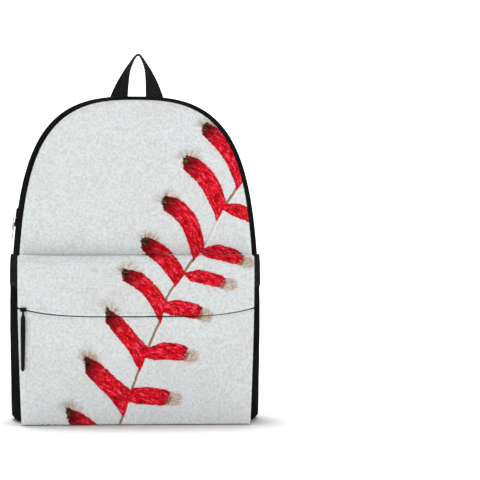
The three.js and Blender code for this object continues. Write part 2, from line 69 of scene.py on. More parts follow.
camera_data = bpy.data.cameras.new("photo_camera")
camera_data.lens = LENS
camera_data.sensor_width = 36.0
camera = bpy.data.objects.new("photo_camera", camera_data)
camera.location = EYE
camera.rotation_euler = (AIM - EYE).to_track_quat("-Z", "Y").to_euler()
bpy.context.collection.objects.link(camera)
bpy.context.scene.camera = camera
print("millimetres per pixel at the middle of the bag:", round(2600 * 36 / (LENS * 480), 3))

# %% [markdown]
# ## Shader arithmetic
# A procedural finish is mostly arithmetic on places. Blender does this with Math nodes, one for each sum or
# product, which are slow to wire by hand. The class below wraps one output socket, so that `1 - mask * 0.5`
# adds the nodes and the links for us. `Finish` owns one material, and its `node` method makes every other
# kind of node.


# %% A socket that can be added and multiplied
class Wire:
    def __init__(self, finish, socket):
        self.finish, self.socket = finish, socket

    def math(self, operation, *others, clamp=False):
        values = dict(enumerate((self, *others)))
        return self.finish.node("ShaderNodeMath", {"operation": operation, "use_clamp": clamp}, values)

    def __add__(self, other):
        return self.math("ADD", other)

    def __sub__(self, other):
        return self.math("SUBTRACT", other)

    def __rsub__(self, other):
        return (self * -1.0) + other

    def __mul__(self, other):
        return self.math("MULTIPLY", other)

    def __truediv__(self, other):
        return self.math("DIVIDE", other)

    def __pow__(self, other):
        return self.math("POWER", other)

    def __abs__(self):
        return self.math("ABSOLUTE")

    __radd__, __rmul__ = __add__, __mul__


# %% A material and the one method that adds its nodes
def linear(red, green, blue):
    """A colour as a picture shows it, 0 to 255, in the linear values that shaders use."""
    return tuple((v / 255.0) ** 2.2 for v in (red, green, blue)) + (1.0,)


class Finish:
    def __init__(self, name, **fixed):
        self.material = bpy.data.materials.new(name)
        self.material.use_nodes = True
        self.tree = self.material.node_tree
        self.surface = self.tree.nodes["Principled BSDF"]
        for socket, value in fixed.items():
            self.surface.inputs[socket.replace("_", " ")].default_value = value

    def node(self, kind, settings=None, sockets=None, out=0):
        made = self.tree.nodes.new(kind)
        for name, value in (settings or {}).items():
            if name == "stops":
                self.set_stops(made.color_ramp, value)
            elif name == "interpolation" and kind == "ShaderNodeValToRGB":
                made.color_ramp.interpolation = value
            else:
                setattr(made, name, value)
        for name, value in (sockets or {}).items():
            self.feed(made.inputs[name], value)
        return Wire(self, made.outputs[out])

    def set_stops(self, ramp, stops):
        while len(ramp.elements) > 1:
            ramp.elements.remove(ramp.elements[-1])
        for k, (place, value) in enumerate(stops):
            element = ramp.elements[0] if k == 0 else ramp.elements.new(place)
            element.position = place
            element.color = value if isinstance(value, tuple) else (value, value, value, 1.0)

    def feed(self, target, value):
        if isinstance(value, Wire):
            self.tree.links.new(value.socket, target)
        else:
            target.default_value = value

    def give(self, **values):
        """Connects what changes over the surface to the shader, such as Base_Color or Roughness."""
        for name, value in values.items():
            self.feed(self.surface.inputs[name.replace("_", " ")], value)


# %% [markdown]
# A few nodes come up in every finish: the place on the object, the place along the cloth, a noise, a soft
# step and a colour mix. The cloth's own place is an attribute that each mesh carries, in millimetres along
# its two threads.


# %% Small shader helpers
def object_place(finish):
    return finish.node("ShaderNodeTexCoord", out="Object")


def cloth_place(finish):
    return finish.node("ShaderNodeAttribute", {"attribute_name": "cloth_place"}, out="Vector")


def parts_of(place):
    return [place.finish.node("ShaderNodeSeparateXYZ", sockets={0: place}, out=n) for n in (0, 1, 2)]


def scaled(place, factors):
    return place.finish.node("ShaderNodeVectorMath", {"operation": "MULTIPLY"}, {0: place, 1: factors})


def joined(x, y, z=0.0):
    return x.finish.node("ShaderNodeCombineXYZ", sockets={0: x, 1: y, 2: z})


def noise(place, scale, detail=2.0, roughness=0.5):
    sockets = {"Vector": place, "Scale": scale, "Detail": detail, "Roughness": roughness}
    return place.finish.node("ShaderNodeTexNoise", sockets=sockets, out=0)


def step(value, low, high):
    """0 below low, 1 above high, smooth in between."""
    sockets = {"Value": value, "From Min": low, "From Max": high}
    return value.finish.node("ShaderNodeMapRange", {"interpolation_type": "SMOOTHSTEP"}, sockets)


def colour_mix(share, first, second, blend="MIX"):
    settings = {"data_type": "RGBA", "blend_type": blend, "clamp_factor": True}
    return share.finish.node("ShaderNodeMix", settings, {0: share, 6: first, 7: second}, out=2)


def bump(height, strength, distance):
    """height in the units of distance, in metres."""
    sockets = {"Strength": strength, "Distance": distance, "Height": height}
    return height.finish.node("ShaderNodeBump", sockets=sockets, out="Normal")


def larger(first, second):
    return first.math("MAXIMUM", second)


# %% [markdown]
# ## Cloth finishes
# Woven cloth is two sets of threads that cross. A strictly regular weave this fine turns into stripes when
# it is rendered or baked, so each set is a noise stretched along its own thread: uneven, as spun yarn is,
# and free of such stripes. The same few lines make the plain black cloth, the heavier hem and the zip's
# tape.


# %% Crossing threads
def threads(finish, pitch):
    """The height of crossing threads, 0 to 1, with about one thread for each pitch in millimetres."""
    place = cloth_place(finish)
    warp = noise(scaled(place, (1.0 / pitch, 0.07 / pitch, 0.0)), 1.0, 1.0)
    weft = noise(scaled(place, (0.07 / pitch, 1.0 / pitch, 0.0)), 1.0, 1.0)
    return larger(warp, weft)


def woven_finish(name, colour, lighter, pitch, depth, roughness=0.85, worn=0.25):
    finish = Finish(name, Roughness=roughness, Specular_IOR_Level=0.0)
    height = threads(finish, pitch)
    cloud = noise(object_place(finish), 28.0, 3.0)
    # The raised threads are painted lighter than the hollows between them, a painted highlight and painted
    # shade; the cloud adds random lighter patches, as wear.
    tone = step(height, 0.35, 0.75) * 0.6 + step(cloud, 0.35, 0.7) * worn
    finish.give(Base_Color=colour_mix(tone, colour, lighter))
    finish.give(Roughness=roughness - step(height, 0.5, 0.8) * 0.12)
    finish.give(Normal=bump(height, 0.55, depth))
    return finish.material


black_cloth = woven_finish("black_pack_cloth", linear(13, 13, 13), linear(40, 40, 41), 0.75, 0.0005)
hem_cloth = woven_finish("side_pocket_hem_cloth", linear(20, 20, 22), linear(48, 48, 53), 1.0, 0.0007)
zip_tape = woven_finish("zip_tape_weave", linear(4, 4, 5), linear(16, 16, 18), 0.9, 0.0005, 0.8)
print("cloth finishes:", black_cloth.name, hem_cloth.name, zip_tape.name)

# %% [markdown]
# Webbing is woven with ribs across its width and a flat selvedge along each edge. The ribs are wide enough
# to show, so they are a real wave in the bump, bent a little by noise so that no two are alike.


# %% Webbing, binding and thread
def webbing_finish(name, colour, lighter, width, rib):
    finish = Finish(name, Roughness=0.75, Specular_IOR_Level=0.03)
    across, along, _ = parts_of(cloth_place(finish))
    wobble = noise(cloth_place(finish), 0.35, 2.0)
    ribs = (along * (2 * math.pi / rib) + wobble * 2.0).math("SINE") * 0.5 + 0.5
    plaits = (across * (2 * math.pi / 2.6)).math("SINE") * 0.5 + 0.5
    edge = step(abs(across), width / 2 - 2.4, width / 2 - 1.8)
    height = ribs * (0.7 + plaits * 0.3) * (1.0 - edge * 0.5) + threads(finish, 0.5) * 0.3
    # The colour follows the height: the ribs are painted lighter, and the hollows between them and the
    # flatter selvedge darker, a painted highlight and painted shade.
    finish.give(Base_Color=colour_mix(step(height, 0.15, 1.1), colour, lighter))
    finish.give(Roughness=0.85 - step(height, 0.4, 1.1) * 0.2)
    finish.give(Normal=bump(height, 0.6, 0.0006))
    return finish.material


webbing = webbing_finish("strap_webbing", linear(24, 24, 25), linear(62, 62, 64), 25.0, 1.7)
binding = webbing_finish("edge_binding", linear(14, 14, 16), linear(38, 38, 42), 14.0, 1.3)


def thread_finish(name, colour, lighter):
    finish = Finish(name, Roughness=0.55, Specular_IOR_Level=0.05)
    twist = noise(object_place(finish), 900.0, 2.0)
    finish.give(Base_Color=colour_mix(step(twist, 0.3, 0.7), colour, lighter))
    return finish.material


black_thread = thread_finish("black_sewing_thread", linear(14, 14, 16), linear(38, 38, 42))

# %% [markdown]
# The padded pieces are faced with an airy spacer mesh: a cloth full of small holes in staggered rows. Two
# sine waves that cross at sixty degrees mark the holes. They are dark and sunk, and the knitted ribs
# between them catch light.


# %% Spacer mesh and moulded plastic
def mesh_finish(name, colour, lighter, hole):
    finish = Finish(name, Roughness=0.9, Specular_IOR_Level=0.02)
    x, z, _ = parts_of(cloth_place(finish))
    pace = 2 * math.pi / hole
    rows = (z * pace).math("COSINE") + (x * (pace * 0.866) + z * (pace * 0.5)).math("COSINE")
    rows = rows + (x * (pace * 0.866) - z * (pace * 0.5)).math("COSINE")
    cell = step(rows, 0.6, 2.2)
    yarn = noise(object_place(finish), 1200.0, 2.0)
    # The ribs get random yarn tone and are painted lighter than the sunk holes, which keep the dark base
    # colour: a painted highlight on the ribs and painted shade in the holes.
    finish.give(Base_Color=colour_mix(yarn * (1.0 - cell), colour, lighter))
    finish.give(Roughness=0.8 + cell * 0.15)
    finish.give(Normal=bump(yarn * 0.3 - cell, 0.6, 0.0008))
    return finish.material


def moulded_finish(name, colour, lighter):
    finish = Finish(name, Roughness=0.45, Specular_IOR_Level=0.12)
    grain = noise(object_place(finish), 2600.0, 2.0)
    scuff = noise(scaled(object_place(finish), (900.0, 120.0, 120.0)), 1.0, 3.0)
    finish.give(Base_Color=colour_mix(step(scuff, 0.5, 0.75), colour, lighter))
    finish.give(Roughness=0.38 + grain * 0.2)
    finish.give(Normal=bump(grain, 0.25, 0.0002))
    return finish.material


spacer_mesh = mesh_finish("padded_spacer_mesh", linear(10, 10, 12), linear(50, 50, 55), 3.6)
black_plastic = moulded_finish("black_moulded_plastic", linear(8, 8, 9), linear(24, 24, 27))

# %% [markdown]
# ## The ball-seam print
# A ball's seam is a long arc with pairs of thread stitches that leave it like the veins of a leaf. We turn
# every place on the front into two distances: `along` the arc and `side`ways from it, negative on the left.
# In those terms the seam is a straight line and each stitch a short bent bar, so a few lines of arithmetic
# draw them all. A ramp counts along the seam from stitch to stitch, because their spacing closes up towards
# the top.

# %% Measurements of the seam, in millimetres
SEAM_CENTRE = (977.1, -311.3)  # across and up, of the arc that the seam follows
SEAM_RADIUS = 1045.0
SEAM_SPAN = 900.0
SEAM_BENDS = [(575.0, 45.0, 5.0), (490.0, 40.0, -5.0)]  # middle, half length and shift of each bend
# One column for each stitch from the lowest up. foot: where its middle leaves the seam. reach: how far
# sideways. rise: how much further up its tip is. bow: how far it arches up. start, width: half width at the
# seam and beyond.
LEFT = {
    "foot": [283, 344.5, 403.6, 468.7, 515.4, 557.0, 617.8, 665, 716],
    "reach": [68.5, 68, 67, 64, 66, 73.5, 77, 82.5, 83],
    "rise": [27, 29, 33, 19, 17.5, 30, 25, 23.5, 22],
    "bow": [3, 2.6, 4, 9.5, 6, 14, 10.2, 10, 10],
    "start": [14, 14.6, 12.2, 11, 9.6, 8.6, 10, 10, 10],
    "width": [11, 11.6, 10.2, 10.2, 11.4, 12, 12, 11, 11],
}
RIGHT = {
    "foot": [293, 356, 413, 474.6, 524, 561, 626, 676, 725],
    "reach": [46, 47, 47, 46.5, 49, 50, 60, 60, 60],
    "rise": [12, 12.5, 18, 13.5, 14.5, 17, 14, 14, 14],
    "bow": [1, 0.5, 3, 2, 1, 2.5, 1, 1, 1],
    "start": [9, 9.2, 6.7, 6.9, 2.2, 3.6, 5, 5, 5],
    "width": [11, 11.4, 11.4, 10.4, 9.2, 10.4, 9.4, 9, 9],
}


# %% Counting and looking up stitches
def stitch_number(along, feet):
    """Which stitch a place is nearest to: 0 for the lowest, with fractions in between."""
    last = len(feet) - 1
    stops = [(foot / SEAM_SPAN, k / last) for k, foot in enumerate(feet)]
    ramp = along.finish.node("ShaderNodeValToRGB", {"stops": stops}, {0: along / SEAM_SPAN})
    return ramp * last


def for_stitch(number, values):
    """The value that belongs to a whole stitch number."""
    count, top = len(values), float(max(values))
    stops = [(k / count, v / top) for k, v in enumerate(values)]
    settings = {"stops": stops, "interpolation": "CONSTANT"}
    return number.finish.node("ShaderNodeValToRGB", settings, {0: (number + 0.5) / count}) * top


# %% One row of stitches
class StitchRow:
    """Measures and masks of the stitches on one side of the seam, at every place on the cloth."""

    def __init__(self, table, along, away, fine, typical, widening):
        reach, rise, bow = typical
        share = away / reach
        guess = along - share * rise - (share - share * share) * (4.0 * bow)
        self.number = stitch_number(guess, table["foot"]).math("ROUND")
        row = {name: for_stitch(self.number, values) for name, values in table.items()}
        self.share = away / row["reach"]
        bend = (self.share - self.share * self.share) * 4.0
        middle = row["foot"] + self.share * row["rise"] + bend * row["bow"]
        slope = (row["rise"] + (1.0 - self.share * 2.0) * row["bow"] * 4.0) / row["reach"]
        self.across = (along - middle) / (slope * slope + 1.0).math("SQRT")
        self.length = self.share * row["reach"]
        spread = step(away, 0.0, widening)
        self.width = row["start"] + (row["width"] - row["start"]) * spread
        self.reach, self.away = row["reach"], away
        self.outside = abs(self.across + fine * 4.0) - self.width

    def strands(self):
        """Light and dark streaks of the twisted strands that run along a stitch."""
        place = joined(self.across * 0.34 + self.share * 3.0, self.length * 0.1, self.number * 7.0)
        value = noise(place, 1.0, 4.0, 0.72)
        glint = noise(joined(self.across * 0.8, self.length * 0.3, self.number * 4.0), 1.0, 2.0, 0.6)
        return step(value, 0.52, 0.62), 1.0 - step(value, 0.38, 0.48), step(glint, 0.62, 0.74)

    def hairs(self):
        """Fine red hairs that stand off the long edges."""
        place = joined(self.length * 0.75, self.across * 0.11, self.number * 5.0)
        near = (1.0 - step(self.outside, 0.5, 7.0)) * step(self.share, 0.0, 0.06)
        hair = step(noise(place, 1.0, 3.0, 0.7), 0.54, 0.66)
        return near * hair * (1.0 - step(self.share, 0.9, 0.99))


# %% The left stitches end in a dark hole with a fan of fibres above it
def left_stitches(along, side, fine):
    row = StitchRow(LEFT, along, side * -1.0, fine, (70.0, 25.0, 8.0), 26.0)
    beyond = row.length - row.reach
    outside = row.outside + step(row.share, 0.66, 1.06) * 3.4
    body = (1.0 - step(outside, -0.8, 0.5)) * step(row.away, -2.6, -1.0)
    slant = row.across * 0.35
    body = body * (1.0 - step(beyond - slant + row.across * row.across * 0.026 + fine * 11.0, -1.5, 1.5))
    streak = noise(joined(row.across * 0.9, beyond * 0.16, row.number * 9.0), 1.0, 2.0)
    off_middle = row.across - 2.2
    in_hole = beyond + 2.6 - off_middle * 0.35
    radius = (in_hole * in_hole * 0.034 + off_middle * off_middle * 0.023).math("SQRT")
    hole = 1.0 - step(radius + fine * 1.2 + (streak - 0.5) * 0.9, 0.62, 1.04)
    hole = hole * step(row.away, 0.0, 1.0)
    up, out = row.across + 1.0, beyond + 6.0
    angle = up.math("ARCTAN2", out) + (streak - 0.5) * 0.5
    reach = (up * up + out * out).math("SQRT")
    fan = step(noise(joined(angle * 5.0, reach * 0.05, row.number * 3.0), 1.0, 2.0), 0.46, 0.56)
    length = 1.0 - step(reach + fine * 12.0, 11.0, 24.0)
    tuft = (0.3 + fan * 0.7) * length * step(angle, -0.1, 0.5) * (1.0 - step(angle, 2.4, 2.9))
    depth = larger(step(beyond, -32.0, -5.0), step(outside, -3.4, -0.2) * 0.4)
    return row, body, depth, hole, streak, tuft * step(row.away, 30.0, 40.0)


# %% The right stitches are shorter and end square in a beige, curly patch
def right_stitches(along, side, fine):
    row = StitchRow(RIGHT, along, side, fine, (48.0, 14.0, 1.5), 15.0)
    outside = row.outside + step(row.share, 0.8, 1.05) * 2.6
    body = (1.0 - step(outside, -0.8, 0.5)) * step(row.away, -2.6, -1.0)
    body = body * (1.0 - step(row.share + fine * 0.2, 0.97, 1.02))
    beyond = row.length - row.reach
    patch_out = beyond - 6.5
    radius = (patch_out * patch_out + row.across * row.across * 1.25).math("SQRT")
    curl = abs(noise(joined(row.across * 0.3, beyond * 0.3, row.number * 3.0), 1.0, 3.0, 0.65) - 0.5)
    patch = 1.0 - step(radius + fine * 13.0, 6.5, 13.5)
    tuft = patch * (0.3 + (1.0 - step(curl, 0.03, 0.11)) * 0.7) * step(beyond, -4.0, 0.0)
    burnt = (1.0 - step(abs(beyond - 1.0), 1.2, 3.4)) * (1.0 - step(abs(row.across + 2.5), 4.0, 8.0))
    depth = larger(step(row.share, 0.8, 1.0) * 0.5, step(outside, -3.0, -0.2) * 0.45)
    return row, body, depth, tuft, burnt


# %% The colour of the thread
def thread_colour(rows, depth, place):
    masks = [row.strands() for row in rows]
    share = step(rows[1].away, -0.5, 0.5)
    light, dark, glint = [left + (right - left) * share for left, right in zip(*masks)]
    cloud = step(noise(place, 90.0, 2.0), 0.4, 0.7)
    grit = noise(place, 520.0, 2.0, 0.6)
    red = colour_mix(cloud, linear(222, 6, 34), linear(196, 4, 22))
    red = colour_mix(light * 0.85, red, linear(246, 80, 104))
    red = colour_mix(dark * 0.9, red, linear(108, 0, 8))
    red = colour_mix((1.0 - step(grit, 0.36, 0.48)) * 0.6, red, linear(96, 0, 6))
    red = colour_mix(glint * 0.7, red, linear(246, 160, 176))
    return colour_mix(depth * 0.8, red, linear(66, 2, 6))


# %% The printed cloth
def printed_finish(name):
    finish = Finish(name, Roughness=0.78, Specular_IOR_Level=0.1)
    place = object_place(finish)
    x, _, z = parts_of(place)
    far_x = SEAM_CENTRE[0] - x * 1000.0
    _, _, turned_back = parts_of(cloth_place(finish))
    far_z = z * 1000.0 + turned_back - SEAM_CENTRE[1]
    waver = noise(place, 95.0, 2.0) - 0.5
    fine = noise(place, 330.0, 4.0, 0.65) - 0.5
    along = far_z.math("ARCTAN2", far_x) * SEAM_RADIUS + waver * 2.0
    side = (SEAM_RADIUS - (far_x * far_x + far_z * far_z).math("SQRT")) + waver * 2.4
    for middle, width, shift in SEAM_BENDS:
        side = side - step(1.0 - abs(along - middle) / width, 0.0, 1.0) * shift
    left, left_body, left_depth, hole, streak, left_tuft = left_stitches(along, side, fine)
    right, right_body, right_depth, right_tuft, burnt = right_stitches(along, side, fine)

    colour = ground_colour(finish, place, x, z)
    shown = 1.0 - step(along, 566.0, 578.0) * (1.0 - step(along, 606.0, 618.0)) * 0.85
    line = 1.0 - step(abs(side + fine * 1.6), 0.9, 2.2)
    colour = colour_mix(line * shown * 0.9, colour, linear(156, 126, 94))
    dark_edge = 1.0 - step(abs(side + 1.2 + fine * 2.0), 0.3, 1.2)
    colour = colour_mix(dark_edge * shown * 0.75, colour, linear(74, 50, 36))
    glow = 1.0 - step(abs(side - 2.2 + fine * 2.0), 0.3, 1.2)
    colour = colour_mix(glow * 0.6, colour, linear(236, 232, 224))
    colour = colour_mix(left_tuft * 0.85, colour, linear(150, 128, 100))
    colour = colour_mix(right_tuft * 0.85, colour, linear(160, 130, 102))
    colour = colour_mix(burnt * 0.8, colour, linear(128, 80, 48))
    hairs = larger(left.hairs() * step(left.away, 0.0, 1.0), right.hairs() * step(right.away, 0.0, 1.0))
    colour = colour_mix(hairs * 0.55, colour, linear(214, 104, 122))

    body = larger(left_body, right_body)
    depth = larger(left_depth * left_body, right_depth * right_body)
    colour = colour_mix(body, colour, thread_colour((left, right), depth, place))
    hole_colour = colour_mix(step(streak, 0.46, 0.68), linear(20, 9, 6), linear(104, 80, 46))
    colour = colour_mix(hole * 0.95, colour, hole_colour)

    height = threads(finish, 0.7)
    crease = noise(place, 60.0, 3.0, 0.55)
    finish.give(Base_Color=colour)
    finish.give(Roughness=0.72 + height * 0.15)
    finish.give(Normal=bump(height * 0.3 + crease * 0.8 + body * 0.15, 0.4, 0.0009))
    return finish.material


# %% [markdown]
# The ground of the print is the ball's leather: a cool off-white with beige clouds, pores and small specks.


# %% The leather ground
def ground_colour(finish, place, x, z):
    cloud = step(noise(place, 12.0, 4.0, 0.62), 0.4, 0.72)
    blotch = step(noise(place, 70.0, 3.0, 0.65), 0.5, 0.75)
    grain = noise(place, 300.0, 3.0, 0.75)
    specks = step(noise(place, 230.0, 1.0), 0.76, 0.8)
    colour = colour_mix(cloud * 0.6, linear(213, 217, 218), linear(208, 209, 205))
    colour = colour_mix(blotch * 0.35, colour, linear(196, 194, 186))
    colour = colour_mix((1.0 - step(grain, 0.38, 0.52)) * 0.5, colour, linear(184, 186, 185))
    colour = colour_mix(step(grain, 0.52, 0.66) * 0.5, colour, linear(232, 234, 235))
    colour = colour_mix(specks * 0.4, colour, linear(160, 148, 130))
    scratch = noise(joined(x * 9.0, z * 620.0), 1.0, 2.0, 0.6)
    worn = step(noise(joined(x * 14.0, z * 30.0), 1.0, 1.0), 0.4, 0.6) * (1.0 - step(x, -0.09, -0.03))
    worn = worn * step(z, 0.145, 0.155) * (1.0 - step(z, 0.204, 0.214))
    return colour_mix(step(scratch, 0.56, 0.66) * worn * 0.4, colour, linear(168, 170, 170))


printed_cloth = printed_finish("ball_seam_print")
print("nodes in the print:", len(printed_cloth.node_tree.nodes))

# %% [markdown]
# ## The sewing pattern
# The next cells repeat the CAD model's own measurements and formulas, in millimetres, so every mesh lands
# on its solid. The outline is a dome on straight sides. A depth of 0 is the front seam and 1 the back seam,
# and in between the gusset swells outward.

# %% Pattern: outline and depth
MM = 0.001
WALL = 2.0
SEAM_GAP = 0.3
BASE_DEPTH = 156.0
SEAM_HALF, SEAM_TOP, DOME_REACH = 153.8, 415.0, 80.5
FRONT_FULLNESS, DOME_FULLNESS, FULLNESS_DEPTH = 2.68, 2.82, 0.3
BASE_TAPER, SIDE_TAPER = 9.2, 6.3
SIDE_BULGE, TOP_BULGE, BACK_FLARE, BACK_RISE = 11.7, 4.0, 2.6, 11.5
FRONT_LEAN, BACK_LEAN = 12.0, 8.0  # how far the front and the back lean inwards at the top
FRONT_CORNER, BACK_CORNER = 4.5, 35.0  # radius of the lower corners at the front seam and at the back seam
FRONT_FOOT, POCKET_FOOT = 2.3, 0.9  # height of the lowest row of the front panel and of the pocket
FRONT_CROWN, POCKET_CROWN = 5.0, 4.0  # how far each of them swells in its middle
HEM_TOP = 216.0
ZIP_PLACE, ZIP_TAPE_WIDTH, ZIP_RECESS = 0.4, 18.0, 0.6
POCKET_SHOULDER, LEDGE_RISE, POCKET_FLARE = 215.0, 0.8, 1.4
POCKET_LOW_DEPTH, POCKET_HIGH_DEPTH = 36.0, 25.0
POCKET_ZIP_MIDDLE, POCKET_ZIP_RISE = 136.5, 11.0  # height of the pocket's zip, and the rise to its ends
ZIP_SLIT = 1.1  # half the gap between the two sheets beside that zip
SIDE_POCKET_SLACK = 1.0
SIDES = {"right": np.array([1.0, 1.0, 1.0]), "left": np.array([-1.0, 1.0, 1.0])}


def between(a, b, share):
    return a + (b - a) * share


def hump(depth):
    return np.where(np.asarray(depth) <= 0, 0.0, 4.0 * depth * (1.0 - depth))


def swell(depth):
    return SIDE_BULGE * hump(depth) + BACK_FLARE * np.maximum(depth, 0.0)


def outline_top(depth):
    return SEAM_TOP + BACK_RISE * np.maximum(depth, 0.0) + TOP_BULGE * hump(depth)


def outline_reach(depth):
    return DOME_REACH + swell(depth) * 0.85


def fullness(depth):
    return between(FRONT_FULLNESS, DOME_FULLNESS, np.clip(np.asarray(depth) / FULLNESS_DEPTH, 0, 1))


def lean_share(z):
    return (np.maximum(z, 0.0) / SEAM_TOP) ** 1.5


def front_y(z):
    return -BASE_DEPTH / 2 + FRONT_LEAN * lean_share(z)


def back_y(z):
    return BASE_DEPTH / 2 - BACK_LEAN * lean_share(z)


def depth_y(z, depth):
    return between(front_y(z), back_y(z), depth)


def corner_radius(depth):
    return between(FRONT_CORNER, BACK_CORNER, np.maximum(depth, 0.0) ** 4)


def outline_half(z, depth):
    closing = np.maximum(1.0 - np.exp((z - outline_top(depth)) / outline_reach(depth)), 0.0)
    taper = between(BASE_TAPER, SIDE_TAPER, hump(depth)) * np.maximum(1 - z / HEM_TOP, 0)
    return (SEAM_HALF + swell(depth)) * closing ** (1 / fullness(depth)) - taper


def front_half(z):
    cut = np.maximum(FRONT_CORNER - z, 0.0) / (FRONT_CORNER - FRONT_FOOT)
    return outline_half(np.maximum(z, FRONT_CORNER), 0.0) - FRONT_CORNER * cut


def back_half(z):
    radius = BACK_CORNER
    round_off = np.sqrt(np.maximum(radius**2 - (radius - np.minimum(z, radius)) ** 2, 0))
    return np.where(z >= radius, outline_half(z, 1.0), outline_half(radius, 1.0) - radius + round_off)


# %% Pattern: the dome's edge, at equal steps
DOME_FOOT = HEM_TOP + SEAM_GAP / 2


def dome_arc(depth, steps):
    """Points over the dome from the hem level on the left to the hem level on the right: x and z."""
    top, reach = float(outline_top(depth)), float(outline_reach(depth))
    power = float(fullness(depth))
    end = (1 - math.exp((DOME_FOOT - top) / reach)) ** (1 / power)
    share = np.linspace(-end, end, 3001)
    x = (SEAM_HALF + float(swell(depth))) * share
    z = top + reach * np.log(1 - np.abs(share) ** power)
    length = np.concatenate([[0], np.cumsum(np.hypot(np.diff(x), np.diff(z)))])
    goal = np.linspace(0, length[-1], steps + 1)
    return np.interp(goal, length, x), np.interp(goal, length, z)


def panel_rows(low, depth, spacing, crest=4.0):
    """Heights for the rows of a panel: even up the sides, then at equal steps round its dome."""
    x, z = dome_arc(depth, 190)
    sides = np.linspace(low, DOME_FOOT, int((DOME_FOOT - low) / spacing) + 2)[:-1]
    return np.concatenate([sides, z[x < -crest]])


def crown_at(across, up):
    return (1 - across**2) * np.sin(np.pi * np.clip(up, 0, 1)) ** 0.7


def front_face(z, across, forward):
    y = front_y(z) - SEAM_GAP - forward - FRONT_CROWN * crown_at(across, z / SEAM_TOP)
    return np.stack(np.broadcast_arrays(across * front_half(z), y, z), -1)


# %% Pattern: the front pocket
def pocket_rise(z):
    return np.clip(z / POCKET_SHOULDER, 0, 1)


def pocket_y(z):
    return front_y(z) - between(POCKET_LOW_DEPTH, POCKET_HIGH_DEPTH, pocket_rise(z))


def pocket_half(z):
    return outline_half(z, 0.0) + POCKET_FLARE * pocket_rise(z)


def pocket_zip_z(across):
    return POCKET_ZIP_MIDDLE + POCKET_ZIP_RISE * np.abs(across) ** 4


def pocket_face(z, across, behind):
    y = pocket_y(z) - POCKET_CROWN * crown_at(across, z / POCKET_SHOULDER) + behind
    return np.stack(np.broadcast_arrays(across * pocket_half(z), y, z), -1)


# %% [markdown]
# ## From a grid of points to a sewn sheet
# A piece of cloth is a grid of points for its outer face, a second grid for its lining side and a rounded
# rim that joins them. The helper also stores how far each point lies along the two threads, for the woven
# finishes. Soft noise and short waves that fade away from a seam give the pull of real stitching.


# %% Mesh helpers
def mesh_points(mesh):
    """The points of a mesh, in millimetres."""
    flat = np.empty(len(mesh.vertices) * 3, np.float32)
    mesh.vertices.foreach_get("co", flat)
    return flat.reshape(-1, 3).astype(float) / MM


def make_piece(name, points, faces, material, replaces=(), place=None, sharp=50.0):
    """A mesh object from points in millimetres, riding on the bag."""
    mesh = bpy.data.meshes.new(name)
    mesh.from_pydata((np.asarray(points) * MM).tolist(), [], faces)
    mesh.validate()
    mesh.materials.append(material)
    if place is not None:
        attribute = mesh.attributes.new("cloth_place", "FLOAT_VECTOR", "POINT")
        attribute.data.foreach_set("vector", np.ascontiguousarray(place, dtype=np.float32).ravel())
    piece = bpy.data.objects.new(name, mesh)
    bpy.context.collection.objects.link(piece)
    for polygon in mesh.polygons:
        polygon.use_smooth = True
    mesh.set_sharp_from_angle(angle=math.radians(sharp))
    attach(piece, "root")
    if replaces:
        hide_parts(*replaces)
    mesh.calc_loop_triangles()
    print(f"{name}: {len(mesh.vertices)} points, {len(mesh.loop_triangles)} triangles")
    return piece


def unit(vectors):
    return vectors / np.maximum(np.linalg.norm(vectors, axis=-1, keepdims=True), 1e-9)


def running_length(line):
    """How far each point of a line lies from its start."""
    return np.concatenate([[0], np.cumsum(np.linalg.norm(np.diff(line, axis=0), axis=1))])


def at_equal_steps(line, count):
    """A line again, with count points at equal steps."""
    length = running_length(line)
    goal = np.linspace(0, length[-1], count)
    return np.stack([np.interp(goal, length, line[:, n]) for n in range(3)], -1)


def facing(grid):
    """The direction that each point of a grid faces."""
    return unit(np.cross(np.gradient(grid, axis=0), np.gradient(grid, axis=1)))


def soft_noise(points, size, seed=0.0):
    """Smooth values from -1 to 1 that change over about size millimetres."""
    place = np.asarray(points) / size + seed * 17.31
    cell = np.floor(place)
    part = place - cell
    part = part * part * (3 - 2 * part)
    total = 0.0
    for corner in np.ndindex(2, 2, 2):
        at = (cell + corner) @ np.array([12.9898, 78.233, 37.719])
        value = np.modf(np.sin(at) * 43758.5453)[0]
        total = total + value * np.prod(np.where(corner, part, 1 - part), axis=-1)
    return total


def cloth_lengths(grid):
    """How far each point lies along its row and along its column, from the middle, in millimetres."""
    lengths = []
    for axis in (1, 0):
        steps = np.linalg.norm(np.diff(grid, axis=axis), axis=-1)
        first = np.zeros_like(np.take(steps, [0], axis=axis))
        length = np.concatenate([first, np.cumsum(steps, axis=axis)], axis=axis)
        lengths.append(length - np.take(length, [length.shape[axis] // 2], axis=axis))
    return np.stack([lengths[0], lengths[1], np.zeros_like(lengths[0])], -1)


# %% A sheet with a rounded rim
def rim_loop(rows, columns):
    """The grid positions round the edge, in order, each with the neighbour just inside it."""
    top = [((0, j), (1, j)) for j in range(columns)]
    right = [((i, columns - 1), (i, columns - 2)) for i in range(1, rows - 1)]
    bottom = [((rows - 1, j), (rows - 2, j)) for j in reversed(range(columns))]
    left = [((i, 0), (i, 1)) for i in reversed(range(1, rows - 1))]
    return top + right + bottom + left


